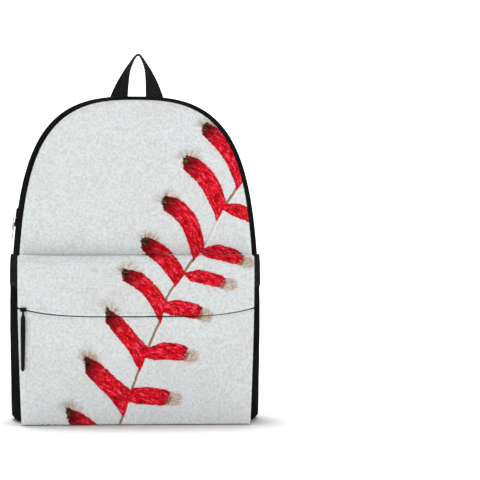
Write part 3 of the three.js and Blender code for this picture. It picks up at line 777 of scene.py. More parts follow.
def sheet(name, outer, inner, material, replaces=(), roll=0.35, print_shift=0.0):
    """print_shift is how much further up the print a point lies than its height says."""
    rows, columns = outer.shape[:2]
    count = rows * columns
    loop = rim_loop(rows, columns)
    middle = []
    for edge, inside in loop:
        thick = np.linalg.norm(outer[edge] - inner[edge])
        away = unit(outer[edge] - outer[inside])
        middle.append((outer[edge] + inner[edge]) / 2 + away * thick * roll)
    points = np.concatenate([outer.reshape(-1, 3), inner.reshape(-1, 3), np.array(middle)])
    number = np.arange(count).reshape(rows, columns)
    a, b, c, d = number[:-1, :-1], number[1:, :-1], number[1:, 1:], number[:-1, 1:]
    quads = np.stack([a, b, c, d], -1).reshape(-1, 4)
    faces = np.concatenate([quads, quads[:, ::-1] + count]).tolist()
    for k in range(len(loop)):
        here, after = k, (k + 1) % len(loop)
        p, q = (int(number[loop[n][0]]) for n in (here, after))
        m, n = 2 * count + here, 2 * count + after
        faces += [[p, m, n, q], [m, p + count, q + count, n]]
    place = cloth_lengths(outer)
    place[..., 2] = print_shift
    place = place.reshape(-1, 3)
    rim_place = np.array([place[number[edge]] for edge, _ in loop])
    corner = points[quads[0]]
    solid_way = np.cross(corner[1] - corner[0], corner[2] - corner[0]) @ (outer - inner)[0, 0]
    if solid_way < 0:
        faces = [face[::-1] for face in faces]
    return make_piece(
        name, points, faces, material, replaces, np.concatenate([place, place, rim_place])
    )


# %% [markdown]
# ## Front panel
# The printed panel is cut to the dome's outline and sewn to the gusset all round. Its face swells a little,
# rolls back into the seam at its edge and puckers along the stitching. Those three shapes are added to the
# face alone.


# %% How far a place is from a sewn edge
def edge_measures(x, z, edge_x, edge_z):
    """Distance to an edge line, and how far along that line the nearest point lies, in millimetres."""
    length = np.concatenate([[0], np.cumsum(np.hypot(np.diff(edge_x), np.diff(edge_z)))])
    distance = np.full(x.shape, 1e9)
    along = np.zeros(x.shape)
    for k in range(len(edge_x)):
        gap = np.hypot(x - edge_x[k], z - edge_z[k])
        closer = gap < distance
        distance = np.where(closer, gap, distance)
        along = np.where(closer, length[k], along)
    return distance, along


def seam_pull(distance, along, roll, pucker, wave=8.5):
    """How far cloth sinks near a seam: a roll into it, and short waves that fade away from it."""
    ripple = np.sin(along * 2 * np.pi / wave + 1.7 * np.sin(along / 23.0))
    return roll * np.exp(-((distance / 2.4) ** 2)) + pucker * ripple * np.exp(-distance / 8.0)


def front_outline():
    x, z = dome_arc(0.0, 400)
    down = np.linspace(DOME_FOOT, FRONT_FOOT, 120)[1:]
    return (
        np.concatenate([-front_half(down[::-1]), x, front_half(down)]),
        np.concatenate([down[::-1], z, down]),
    )


# %% Printed front panel
rows = panel_rows(FRONT_FOOT, 0.0, 3.2)[:, None]
columns = np.linspace(-1, 1, 101)[None, :]
front_outer = front_face(rows, columns, WALL)
distance, along = edge_measures(front_outer[..., 0], front_outer[..., 2], *front_outline())
sink = seam_pull(distance, along, 1.5, 0.28)
calm = 1 - np.exp(-distance / 14.0)
folds = soft_noise(front_outer * [1, 0, 1.6], 62.0, 3) * 1.1 + soft_noise(front_outer, 23.0, 5) * 0.3
front_outer[..., 1] += sink + np.minimum(folds * calm, 1.2)
front_inner = front_face(rows, columns, 0.0)
sheet("printed_front", front_outer, front_inner, printed_cloth, ["front_panel"])

# %% [markdown]
# ## Gusset
# Two strips of black cloth run over the dome with the main zip between them. Each strip rolls into its
# seam, and the edges next to the zip are folded under and stitched down, so they stand a little proud of
# the tape.


# %% Dome strips
def dome_surface(depths, steps):
    grid = []
    for depth in depths:
        x, z = dome_arc(depth, steps)
        grid.append(np.stack([x, depth_y(z, depth), z], -1))
    return np.array(grid)


def outward_over_dome(surface):
    """Square to the dome's edge, in the upright plane."""
    along = np.gradient(surface, axis=1)
    along[:, [0, -1]] = [[0, 0, 1], [0, 0, -1]]
    away = np.stack([-along[..., 2], np.zeros(along.shape[:2]), along[..., 0]], -1)
    return unit(away)


def dome_strip(name, low, high, count, seam_side, node):
    depths = np.linspace(low, high, count)
    surface = dome_surface(depths, 180)
    away = outward_over_dome(surface)
    length = cloth_lengths(surface)[..., 0]
    from_seam = np.abs(depths - seam_side)[:, None] * BASE_DEPTH * np.ones_like(length)
    from_zip = np.abs(depths - (low + high - seam_side))[:, None] * BASE_DEPTH
    lift = -seam_pull(from_seam, length, 1.4, 0.3)
    lift = lift + 0.45 * np.exp(-(((from_zip - 2.6) / 2.0) ** 2)) - 0.5 * np.exp(-((from_zip / 1.0) ** 2))
    folds = soft_noise(surface, 34.0, 7) * 0.7 + soft_noise(surface, 15.0, 9) * 0.25
    lift = lift + folds * (1 - np.exp(-np.minimum(from_seam, from_zip) / 9.0))
    outer = surface + away * lift[..., None]
    sheet(name, outer, surface - away * WALL, black_cloth, [node])


zip_front = ZIP_PLACE - ZIP_TAPE_WIDTH / BASE_DEPTH / 2
zip_back = ZIP_PLACE + ZIP_TAPE_WIDTH / BASE_DEPTH / 2
gap_share = SEAM_GAP / BASE_DEPTH
dome_strip("gusset_front_strip", 0.0, zip_front - gap_share, 20, 0.0, "gusset_front")
dome_strip("gusset_back_strip", zip_back + gap_share, 1.0, 30, 1.0, "gusset_back")

# %% [markdown]
# ## Main zip
# A coil zip is two woven tapes, each with a spiral of nylon along its inner edge, and the two spirals mesh.
# The tapes are a strip with a shallow groove. Each tooth is a small capsule laid across the groove, turn by
# turn.


# %% Many small capsules in one mesh
def capsules(name, starts, ends, radius, material, sides=6):
    """A rounded stick from each start to each end, for stitches and teeth."""
    starts, ends = np.asarray(starts, float), np.asarray(ends, float)
    along = unit(ends - starts)
    helper = np.where(np.abs(along[:, 2:3]) < 0.9, [[0, 0, 1.0]], [[1.0, 0, 0]])
    first = unit(np.cross(along, helper))
    second = np.cross(along, first)
    rings = [(0.0, -0.9, 0.35), (0.0, -0.35, 0.9), (1.0, 0.35, 0.9), (1.0, 0.9, 0.35)]
    angles = np.arange(sides) * 2 * np.pi / sides
    cosine, sine = np.cos(angles)[None, :, None], np.sin(angles)[None, :, None]
    spokes = first[:, None] * cosine + second[:, None] * sine
    layers = []
    for share, push, width in rings:
        middle = starts + (ends - starts) * share + along * radius * push
        layers.append(middle[:, None] + spokes * radius * width)
    points = np.stack(layers, 1).reshape(-1, 3)
    faces = []
    for n in range(len(starts)):
        base = n * len(rings) * sides
        for ring in range(len(rings) - 1):
            for k in range(sides):
                a, b = base + ring * sides + k, base + ring * sides + (k + 1) % sides
                faces.append([a, b, b + sides, a + sides])
        faces.append([base + k for k in reversed(range(sides))])
        faces.append([base + (len(rings) - 1) * sides + k for k in range(sides)])
    make_piece(name, points, faces, material, place=points * [1, 1, 0], sharp=80.0)


# %% Zip tape and coil
tape_depths = np.linspace(zip_front, zip_back, 15)
tape = dome_surface(tape_depths, 180)
tape_away = outward_over_dome(tape)
groove = 0.5 * np.exp(-((np.linspace(-1, 1, 15) / 0.28) ** 2))[:, None, None]
sheet(
    "main_zip_tape",
    tape - tape_away * (ZIP_RECESS + groove),
    tape - tape_away * (ZIP_RECESS + WALL),
    zip_tape,
    ["main_zip"],
)


def over_dome(depth, pitch, lift):
    """Points over the dome at one depth, a pitch apart and lifted off the surface, and the way out."""
    x, z = dome_arc(depth, 400)
    total = np.hypot(np.diff(x), np.diff(z)).sum()
    x, z = dome_arc(depth, int(total / pitch))
    line = np.stack([x, depth_y(z, depth), z], -1)
    away = outward_over_dome(line[None])[0]
    return line + away * lift, away


coil, _ = over_dome(ZIP_PLACE, 1.55, -0.75)
half_tooth, overlap = np.array([0, 2.7, 0]), np.array([0, 0.4, 0])
lean = np.gradient(coil, axis=0) * 0.25
between_turns = coil[:-1] / 2 + coil[1:] / 2
tooth_starts = np.concatenate([coil - half_tooth - lean, between_turns - overlap])
tooth_ends = np.concatenate([coil + overlap + lean, between_turns + half_tooth])
capsules("main_zip_coil", tooth_starts, tooth_ends, 0.52, black_plastic)

# %% [markdown]
# ## Stitches
# Machine stitches are short threads with small gaps, each dipping into the cloth at both ends. One helper
# lays them along any line, so every hem and folded edge gets its row of real thread.


# %% Rows of stitches
def even_points(line, spacing):
    """Points along a line, about one spacing apart."""
    line = np.asarray(line, float)
    return at_equal_steps(line, max(int(running_length(line)[-1] / spacing), 2))


def stitch_row(name, lines, material, length=2.9, radius=0.3):
    starts, ends = [], []
    for line in lines:
        spots = even_points(line, length + 0.9)
        steps = spots[1:] - spots[:-1]
        starts.append(spots[:-1] + steps * 0.1)
        ends.append(spots[1:] - steps * 0.1)
    capsules(name, np.concatenate(starts), np.concatenate(ends), radius, material, sides=5)


zip_rows = [over_dome(depth, 3.0, 0.4)[0] for depth in (zip_front - 0.017, zip_back + 0.017)]
stitch_row("main_zip_stitches", zip_rows, black_thread)

# %% [markdown]
# ## Front pocket
# The pocket is a flat box in front of the panel: a lower sheet, a zip, and an upper sheet that turns back
# over the shoulder as a nearly level ledge. The two sheets meet at the zip with folded edges that nearly
# hide it.


# %% Lower sheet of the pocket
def pocket_swell(grid, distance, along, seed):
    """Soft folds and pulled seams for a pocket sheet, as a shift towards the back."""
    folds = soft_noise(grid * [1, 0, 1.5], 48.0, seed) * 1.3 + soft_noise(grid, 19.0, seed + 2) * 0.35
    return seam_pull(distance, along, 1.3, 0.3) + np.minimum(folds * (1 - np.exp(-distance / 12.0)), 1.4)


def folded_edge(distance):
    """How far cloth folded under beside a zip sinks at the fold, less what it stands up next to it."""
    return 0.5 * np.exp(-((distance / 0.9) ** 2)) - 0.4 * np.exp(-(((distance - 3) / 2) ** 2))


across = np.linspace(-1, 1, 111)
zip_z = pocket_zip_z(across)
low_rows = [z + 0 * across for z in (POCKET_FOOT, 2.3, 4.0)]
lower_rows = low_rows + [between(6.0, zip_z - ZIP_SLIT, share) for share in np.linspace(0, 1, 44)]
lower_outer = np.array([pocket_face(z, across, 0.0) for z in lower_rows])
lower_inner = np.array([pocket_face(z, across, WALL) for z in lower_rows])
side_distance = (1 - np.abs(across))[None, :] * pocket_half(lower_outer[..., 2])
foot_distance = lower_outer[..., 2] - POCKET_FOOT
zip_distance = zip_z[None, :] - ZIP_SLIT - lower_outer[..., 2]
nearest = np.minimum(side_distance, foot_distance)
run = np.where(side_distance < foot_distance, lower_outer[..., 2], lower_outer[..., 0])
lower_outer[..., 1] += pocket_swell(lower_outer, nearest, run, 11)
lower_outer[..., 1] += folded_edge(zip_distance)
sheet("pocket_lower_sheet", lower_outer, lower_inner, printed_cloth, ["pocket_front"])

# %% [markdown]
# The upper sheet is built along its profile: up from the zip, round the shoulder, then back along the ledge
# to the panel. Averaging each row with its neighbours a few times turns the sharp shoulder into a soft
# fold.


# %% Upper sheet of the pocket, with its ledge
def ledge_face(across, share):
    front = pocket_face(POCKET_SHOULDER, across, 0.0)
    seam = front_face(POCKET_SHOULDER + LEDGE_RISE, across, WALL)
    half = between(pocket_half(POCKET_SHOULDER), front_half(POCKET_SHOULDER + LEDGE_RISE), share)
    y = between(front[..., 1], seam[..., 1] - SEAM_GAP, share)
    z = between(POCKET_SHOULDER, POCKET_SHOULDER + LEDGE_RISE, share) + 0 * across
    return np.stack([across * half, y, z], -1)


face_shares, ledge_shares = np.linspace(0, 1, 28)[:-1], np.linspace(0, 1, 11)
face_rows = [between(zip_z + ZIP_SLIT, POCKET_SHOULDER, share) for share in face_shares]
band_outer = np.array(
    [pocket_face(z, across, 0.0) for z in face_rows] + [ledge_face(across, share) for share in ledge_shares]
)
for _ in range(3):
    band_outer[1:-1] = band_outer[1:-1] * 0.5 + (band_outer[:-2] + band_outer[2:]) * 0.25
turned_back = band_outer[..., 1] - pocket_face(band_outer[..., 2], across[None, :], 0.0)[..., 1]
turned_back = np.maximum(turned_back, 0.0)
way = facing(band_outer)
way = way * np.sign(-way[2, 50, 1])
side_distance = (1 - np.abs(across))[None, :] * pocket_half(band_outer[..., 2])
top_distance = np.linalg.norm(band_outer - band_outer[-1:], axis=-1)
zip_distance = band_outer[..., 2] - zip_z[None, :] - ZIP_SLIT
nearest = np.minimum(side_distance, top_distance)
run = np.where(side_distance < top_distance, band_outer[..., 2], band_outer[..., 0])
sink = pocket_swell(band_outer, nearest, run, 17) * (1 - 0.8 * np.exp(-top_distance / 6.0))
sink += folded_edge(zip_distance)
band_inner = band_outer - way * WALL * np.minimum(1.0, 0.15 + top_distance / 6.0)[..., None]
band_outer = band_outer - way * sink[..., None]
sheet(
    "pocket_upper_sheet",
    band_outer,
    band_inner,
    printed_cloth,
    ["pocket_band"],
    print_shift=turned_back,
)

# %% Pocket zip and stitches beside it
TAPE_HALF = 4.5
zip_across = np.linspace(-1, 1, 81) * (1 - 2.6 / (SEAM_HALF - BASE_TAPER))


def pocket_tape(behind):
    levels = [pocket_zip_z(zip_across) + up for up in np.linspace(-TAPE_HALF, TAPE_HALF, 7)]
    return np.array([pocket_face(z, zip_across, WALL + SEAM_GAP + behind) for z in levels])


sheet("pocket_zip_tape", pocket_tape(0.0), pocket_tape(WALL / 2), zip_tape, ["pocket_zip"])
coil_line = even_points(pocket_face(pocket_zip_z(zip_across), zip_across, WALL - 0.25), 1.5)
tooth_starts, tooth_ends = coil_line - [0, 0, 1.5], coil_line + [0.5, 0, 1.5]
capsules("pocket_zip_coil", tooth_starts, tooth_ends, 0.45, black_plastic)
sewn = across[2:-2]
stitch_lines = [pocket_face(pocket_zip_z(sewn) + up, sewn, -0.35) for up in (-4.2, 4.2)]
stitch_lines += [pocket_face(z + 0 * sewn, sewn, -0.3) for z in (205.0, 208.6)]
stitch_row("pocket_stitches", stitch_lines, printed_cloth, 2.6, 0.25)

# %% [markdown]
# ## Side walls of the pocket, side panels and base
# All black. The pocket's walls are narrow strips that run from the ledge down to the turned-up corner of
# the base. The side panels reach from the hem to that same corner, and the base is one sheet from the
# pocket to the back.


# %% Corner of the base
HALF_CORNER = math.pi / 4


def corner_point(depth, angle, inset):
    radius = corner_radius(depth)
    middle = outline_half(radius, depth) - radius
    reach = radius - inset
    return middle + reach * np.cos(angle), radius - reach * np.sin(angle)


def pair(name, outer, inner, material, slot, node):
    """The right piece and the left one, its mirror image."""
    return [
        sheet(f"{name}_{side}", outer * flip, inner * flip, material, [f"{node}_{side}"])
        for side, flip in SIDES.items()
    ]


# %% Pocket side walls
def pocket_wall_y(z, share):
    front = pocket_y(z) + WALL + 2 * SEAM_GAP
    back = front_face(z, 1.0, WALL)[..., 1] - SEAM_GAP
    return between(front, back, share)


def pocket_wall(share, inset):
    """One upright line of a side wall, from the ledge down round the corner of the base."""
    top = between(POCKET_SHOULDER, POCKET_SHOULDER + LEDGE_RISE, share) - WALL - 2 * SEAM_GAP
    straight_z = np.linspace(top, FRONT_CORNER, 60)
    straight_x = between(pocket_half(straight_z), front_half(straight_z), share) - inset
    stop = HALF_CORNER - SEAM_GAP / 2 / (FRONT_CORNER - WALL)
    corner_x, corner_z = corner_point(0.0, np.linspace(0, stop, 4)[1:], inset)
    x, z = np.concatenate([straight_x, corner_x]), np.concatenate([straight_z, corner_z])
    return np.stack([x, pocket_wall_y(z, share), z], -1)


shares = np.linspace(0, 1, 11)
wall_outer = np.array([pocket_wall(share, 0.0) for share in shares])
wall_inner = np.array([pocket_wall(share, WALL) for share in shares])
from_edge = np.minimum(shares, 1 - shares)[:, None] * 32.0
dent = 1.6 * np.exp(-((from_edge / 2.2) ** 2)) - 0.9 * (1 - np.exp(-from_edge / 8.0))
ripple = soft_noise(wall_outer * [1, 1, 1.4], 24.0, 23) * 0.7 * (1 - np.exp(-from_edge / 5.0))
wall_outer[..., 0] -= dent + ripple
pair("pocket_side", wall_outer, wall_inner, black_cloth, "black_cloth", "pocket_gusset")


# %% Side panels
def side_panel(inset, depths):
    grid = []
    for depth in depths:
        radius = corner_radius(depth)
        z = np.linspace(HEM_TOP - SEAM_GAP / 2, radius, 64)
        x = outline_half(z, depth) - inset
        stop = HALF_CORNER - SEAM_GAP / 2 / (radius - WALL)
        corner_x, corner_z = corner_point(depth, np.linspace(0, stop, 9)[1:], inset)
        z = np.concatenate([z, corner_z])
        grid.append(np.stack([np.concatenate([x, corner_x]), depth_y(z, depth), z], -1))
    return np.array(grid)


side_depths = np.linspace(0, 1, 44)
side_outer = side_panel(0.0, side_depths)
side_inner = side_panel(WALL, side_depths)
from_edge = np.minimum(side_depths, 1 - side_depths)[:, None] * BASE_DEPTH + 0 * side_outer[..., 2]
side_outer[..., 0] -= seam_pull(from_edge, side_outer[..., 2], 1.3, 0.25)
pair("side_cloth", side_outer, side_inner, black_cloth, "black_cloth", "side_panel")


# %% Base
def base_rows(inset, depths):
    grid = []
    for depth in depths:
        start = HALF_CORNER + SEAM_GAP / 2 / (corner_radius(depth) - WALL)
        corner_x, corner_z = corner_point(depth, np.linspace(math.pi / 2, start, 9), inset)
        flat = np.linspace(0, corner_x[0], 40)[:-1]
        x = np.concatenate([flat, corner_x])
        z = np.concatenate([np.full(flat.shape, inset), corner_z])
        x, z = np.concatenate([-x[:0:-1], x]), np.concatenate([z[:0:-1], z])
        grid.append(np.stack([x, np.full(x.shape, float(depth_y(0.0, depth))), z], -1))
    return np.array(grid)


BASE_REACH = 34.2  # how far the base reaches in front of the front seam, under the pocket
base_depths = np.linspace(-BASE_REACH / BASE_DEPTH, 1.0, 64)
base_outer = base_rows(0.0, base_depths)
base_inner = base_rows(WALL, base_depths)
front_gap = (base_depths - base_depths[0])[:, None] * BASE_DEPTH + 0 * base_outer[..., 0]
gathers = 0.5 + 0.5 * np.sin(base_outer[..., 0] / 5.2 + 2.2 * np.sin(base_outer[..., 0] / 31.0))
lift = 0.9 * gathers * np.exp(-front_gap / 16.0) + 0.5 * (1 + soft_noise(base_outer, 30.0, 29))
base_outer[..., 2] += np.minimum(lift, 1.5)
sheet("base_cloth", base_outer, base_inner, black_cloth, ["base_panel"])

# %% [markdown]
# ## Side pockets
# An open pocket lies on each side: a patch, and a wide hem across its top. Slack cloth falls in soft
# upright folds, so the patch gets shallow waves that die out at its edges. The hem is stiffer, with two
# rows of stitching.


# %% Patches and hems
HEM_FRONT, HEM_BACK = 44.0, 36.0  # height of the hem at its front end and at its back end
SIDE_INSET = 0.03  # share of the depth that a side pocket leaves free at each end


def side_pocket_line(z, depth, stand):
    """Points at the heights z that stand off the side panel, with the slack of the side pocket."""
    slack = SIDE_POCKET_SLACK * hump(depth) * np.clip(z / HEM_TOP, 0, 1)
    x = outline_half(z, depth) + 2 * SEAM_GAP + slack + stand
    return np.stack([x, depth_y(z, depth), z], -1)


def patch_grid(from_z, to_z, count, stand):
    lines = [np.linspace(from_z(depth), to_z(depth), count) for depth in patch_depths]
    return np.array([side_pocket_line(z, depth, stand) for z, depth in zip(lines, patch_depths)])


def patch_foot(depth):
    return float(corner_radius(depth)) + SEAM_GAP


def patch_top(depth):
    return hem_foot(depth) - SEAM_GAP


def hem_foot(depth):
    return HEM_TOP - between(HEM_FRONT, HEM_BACK, depth)


def hem_top(depth):
    return HEM_TOP


patch_depths = np.linspace(SIDE_INSET, 1 - SIDE_INSET, 48)
patch_outer = patch_grid(patch_foot, patch_top, 52, 1.4)
patch_inner = patch_grid(patch_foot, patch_top, 52, 0.0)
edge_gap = (np.minimum(patch_depths, 1 - patch_depths) - SIDE_INSET)[:, None] * BASE_DEPTH
calm = 1 - np.exp(-edge_gap / 10.0)
waves = np.sin(patch_outer[..., 1] / 9.5 + soft_noise(patch_outer, 40.0, 31) * 1.4)
high = np.clip((patch_outer[..., 2] - 40) / 120, 0, 1)
patch_outer[..., 0] += (0.8 * waves * high + soft_noise(patch_outer, 30.0, 33) * 0.5) * calm
patch_outer[..., 0] -= 0.7 * np.exp(-((edge_gap / 1.6) ** 2))
pair("side_pocket_patch", patch_outer, patch_inner, black_cloth, "black_cloth", "side_pocket")

hem_outer = patch_grid(hem_foot, hem_top, 18, 2.4)
hem_inner = patch_grid(hem_foot, hem_top, 18, 0.0)
up = np.linspace(0, 1, 18)[None, :]
puff = 0.5 * np.sin(np.pi * up) ** 0.5 + 0.35 * soft_noise(hem_outer, 22.0, 37) * calm
hem_outer[..., 0] += puff * np.minimum(calm * 2, 1) - 0.6
pair("side_pocket_band", hem_outer, hem_inner, hem_cloth, "hem_cloth", "side_pocket_hem")


# %% Stitches on the side pockets
def hem_line(up):
    """A line along the hem, at a share of its height."""
    depths = patch_depths[1:-1]
    return np.array([side_pocket_line(between(hem_foot(d), HEM_TOP, up), d, 2.45) for d in depths])


hem_lines = [hem_line(up) for up in (0.09, 0.13)]
for side, flip in SIDES.items():
    stitch_row(f"hem_stitches_{side}", [line * flip for line in hem_lines], black_thread)

# %% [markdown]
# ## Letting foam swell
# Foam under a sewn cover is rounder between its seams than a formula makes it, so a short cloth simulation
# blows each pad up a little. A copy is rebuilt with even faces and inflated for a few frames without
# gravity, held along its seams. The fine mesh then takes over that movement, with a cap, so its own seams
# and weave are kept.


# %% Inflating a pad
def rebuilt_copy(piece, voxel):
    """The piece again, with even faces about one voxel wide."""
    form = bpy.data.objects.new("pad_form", piece.data.copy())
    bpy.context.collection.objects.link(form)
    rebuild = form.modifiers.new("rebuild", "REMESH")
    rebuild.mode, rebuild.voxel_size = "VOXEL", voxel * MM
    bpy.context.view_layer.update()
    even = bpy.data.meshes.new_from_object(form.evaluated_get(bpy.context.evaluated_depsgraph_get()))
    form.modifiers.clear()
    form.data = even
    return form


def blown_points(form, rest, pressure, free, frames):
    """Where the points of the copy are after a few frames of pressure from inside."""
    seams = form.vertex_groups.new(name="seams")
    seams.add([int(k) for k in np.nonzero(free(rest) < 0.15)[0]], 1.0, "REPLACE")
    cover = form.modifiers.new("cover", "CLOTH")
    cover.settings.vertex_group_mass = "seams"
    cover.settings.effector_weights.gravity = 0.0
    cover.settings.use_pressure = True
    cover.settings.uniform_pressure_force = pressure
    cover.settings.tension_stiffness = cover.settings.compression_stiffness = 20.0
    cover.settings.quality = 5
    for frame_number in range(1, frames + 1):
        bpy.context.scene.frame_set(frame_number)
    result = form.evaluated_get(bpy.context.evaluated_depsgraph_get())
    blown = mesh_points(result.to_mesh())
    result.to_mesh_clear()
    bpy.context.scene.frame_set(1)
    return blown


def swollen(piece, voxel, pressure, cap, free, frames=12):
    """free(points) says how freely each point may move: 0 on a seam and 1 in the middle of a pad."""
    form = rebuilt_copy(piece, voxel)
    rest = mesh_points(form.data)
    moved = blown_points(form, rest, pressure, free, frames) - rest
    bpy.data.objects.remove(form)
    tree = KDTree(len(rest))
    for k, point in enumerate(rest):
        tree.insert(point, k)
    tree.balance()
    before = mesh_points(piece.data)
    shift = np.zeros_like(before)
    for k, point in enumerate(before):
        near = tree.find_n(point, 6)
        weights = np.array([1.0 / (distance + 1.0) for _, _, distance in near])
        shift[k] = weights @ moved[[index for _, index, _ in near]] / weights.sum()
    size = np.maximum(np.linalg.norm(shift, axis=1, keepdims=True), 1e-6)
    shift = shift * np.minimum(1.0, cap / size) * free(before)[:, None]
    piece.data.vertices.foreach_set("co", ((before + shift) * MM).astype(np.float32).ravel())
    piece.data.update()
    print(f"{piece.name}: {len(rest)} simulated points, the pad swells by up to {np.abs(shift).max():.1f} mm")


# %% [markdown]
# ## Padded back panel
# The back is foam between mesh and cloth, quilted into channels so that it bends with the wearer. Its solid
# is a flat slab. We lay a fine grid over it, swell the pads between the sewn lines and press the edge down.

# %% Back panel
PAD = 9.0
QUILT_SIDE, QUILT_LOW, QUILT_HIGH = 52.0, 96.0, 300.0  # the sewn lines: off the middle, and their heights


def pad_face(z, across, thickness):
    pressed = between(1.0, 0.75, across**8)
    y = back_y(z) + SEAM_GAP + thickness * pressed
    return np.stack(np.broadcast_arrays(across * back_half(z), y, z), -1)


def back_outline():
    x, z = dome_arc(1.0, 400)
    down = np.linspace(DOME_FOOT, 0.2, 160)[1:]
    return (
        np.concatenate([-back_half(down[::-1]), x, back_half(down)]),
        np.concatenate([down[::-1], z, down]),
    )


def quilt_gap(points):
    """Distance to the nearest line of quilting: two upright lines between two level ones."""
    x, z = points[..., 0], points[..., 2]
    beyond = (z > QUILT_HIGH) | (z < QUILT_LOW)
    upright = np.abs(np.abs(x) - QUILT_SIDE) + 100.0 * beyond
    return np.minimum(upright, np.minimum(np.abs(z - QUILT_HIGH), np.abs(z - QUILT_LOW)))


corner_rows = BACK_CORNER * (1 - np.cos(np.linspace(0, math.pi / 2, 14)))
back_rows = np.concatenate([corner_rows[:-1], panel_rows(BACK_CORNER, 1.0, 3.0)])[:, None]
back_columns = np.linspace(-1, 1, 121)[None, :]
pad_outer = pad_face(back_rows, back_columns, PAD)
distance, along = edge_measures(pad_outer[..., 0], pad_outer[..., 2], *back_outline())
sewn = quilt_gap(pad_outer)
quilt = 4.2 * np.exp(-((sewn / 3.2) ** 2)) + 1.6 * np.exp(-((sewn / 12.0) ** 2))
press = 5.0 * np.exp(-((distance / 7.0) ** 2))
swell_out = 1.2 * (1 - np.exp(-distance / 20.0))
pad_outer[..., 1] += swell_out - np.maximum(quilt * (1 - np.exp(-distance / 10.0)), press)
pad_outer[..., 1] += soft_noise(pad_outer, 30.0, 41) * 0.4 * (1 - np.exp(-distance / 10))
pad_inner = pad_face(back_rows, back_columns, 0.0)
back_pad = sheet("back_padding", pad_outer, pad_inner, spacer_mesh, ["back_panel"], roll=0.05)


def back_free(points):
    gap, _ = edge_measures(points[..., 0], points[..., 2], *back_outline())
    outer_side = np.clip((points[..., 1] - back_y(points[..., 2]) - 2.0) / 3.0, 0, 1)
    return (1 - np.exp(-quilt_gap(points) / 7.0)) * (1 - np.exp(-gap / 12.0)) * outer_side


swollen(back_pad, 4.5, 4.0, 3.5, back_free)

# %% [markdown]
# ## Bands of webbing
# The carrying loop, the tabs and the lower straps are woven bands. A band is a flat rounded section carried
# along a smooth curve, with a direction for its width at each stop. The curve is the same one that the CAD
# model uses.


# %% Smooth curves through points
def smooth_curve(points, count, spaced=False):
    """A centripetal curve through points, as count pieces. With spaced, the pieces are equally long."""
    p = np.asarray(points, float)
    p = np.concatenate([[2 * p[0] - p[1]], p, [2 * p[-1] - p[-2]]])
    spans = len(p) - 3
    fine = count if not spaced else 1500
    made = []
    for t in np.linspace(0, spans, fine + 1):
        k = min(int(t), spans - 1)
        w = t - k
        q = p[k : k + 4]
        dt = [max(np.sum((q[n + 1] - q[n]) ** 2) ** 0.25, 1e-6) for n in range(3)]
        m1 = ((q[1] - q[0]) / dt[0] - (q[2] - q[0]) / (dt[0] + dt[1]) + (q[2] - q[1]) / dt[1]) * dt[1]
        m2 = ((q[2] - q[1]) / dt[1] - (q[3] - q[1]) / (dt[1] + dt[2]) + (q[3] - q[2]) / dt[2]) * dt[1]
        a = 2 * q[1] - 2 * q[2] + m1 + m2
        b = -3 * q[1] + 3 * q[2] - 2 * m1 - m2
        made.append(a * w**3 + b * w**2 + m1 * w + q[1])
    made = np.array(made)
    return at_equal_steps(made, count + 1) if spaced else made


# %% A band along a line
def band_frames(line, across, first=None, last=None):
    """At each point of a line, the way of the band's width and the way through it."""
    along = unit(np.gradient(line, axis=0))
    if first is not None:
        along[0] = first
    if last is not None:
        along[-1] = last
    flat = unit(across - along * np.sum(across * along, -1, keepdims=True))
    return flat, unit(np.cross(along, flat))


def band(name, line, across, section, material, replaces=(), first=None, last=None, grow=None):
    """section gives points of the cross-section in millimetres: across the width and through the thickness.
    grow holds two factors for each point of the line: for the width and for the thickness. first and last
    are the band's direction at its two ends, where it isn't that of the line."""
    flat, through = band_frames(line, across, first, last)
    section = np.asarray(section, float)
    grow = np.ones((len(line), 2)) if grow is None else np.asarray(grow)
    wide, thick = section[None, :, :1] * grow[:, None, :1], section[None, :, 1:] * grow[:, None, 1:]
    grid = line[:, None] + flat[:, None] * wide + through[:, None] * thick
    rows, columns = grid.shape[:2]
    number = np.arange(rows * columns).reshape(rows, columns)
    turned = np.roll(number, -1, axis=1)
    faces = np.stack([number[:-1], turned[:-1], turned[1:], number[1:]], -1).reshape(-1, 4).tolist()
    faces.append(number[0][::-1].tolist())
    faces.append(number[-1].tolist())
    place = np.stack(np.broadcast_arrays(section[None, :, 0], running_length(line)[:, None], 0.0), -1)
    return make_piece(name, grid.reshape(-1, 3), faces, material, replaces, place.reshape(-1, 3))


def webbing_section(width, thickness, count=11):
    """A flat section with rounded edges."""
    w = np.linspace(-1, 1, count)
    height = thickness / 2 * np.sqrt(np.maximum(1 - np.abs(w) ** 10, 0.0)) + 0.02
    top = np.stack([w * width / 2, height], -1)
    return np.concatenate([top, top[::-1][1:-1] * [1, -1]])


# %% [markdown]
# ## Turned seam beside the pocket
# Where the pocket's wall meets the bag, the printed panel is hidden in a seam that is bound with black
# tape. Without this tape the panel's white edge would show from the side.

# %% Seam tape
seam_z = np.linspace(4.8, POCKET_SHOULDER + LEDGE_RISE - 2.0, 60)
seam_line = np.stack([outline_half(seam_z, 0.0) + 0.05, front_y(seam_z) - 1.35, seam_z], -1)
seam_way = np.tile([0, 1.0, 0], (len(seam_line), 1))
seam_section = webbing_section(4.4, 1.0)
for side, flip in SIDES.items():
    band(f"seam_tape_{side}", seam_line * flip, seam_way, seam_section, black_cloth)

# %% [markdown]
# ## Carrying loop
# The loop is one piece of webbing between the gusset and the back panel. Each foot is turned, so that from
# the front its flat side shows near the bag and its edge shows at the crest.

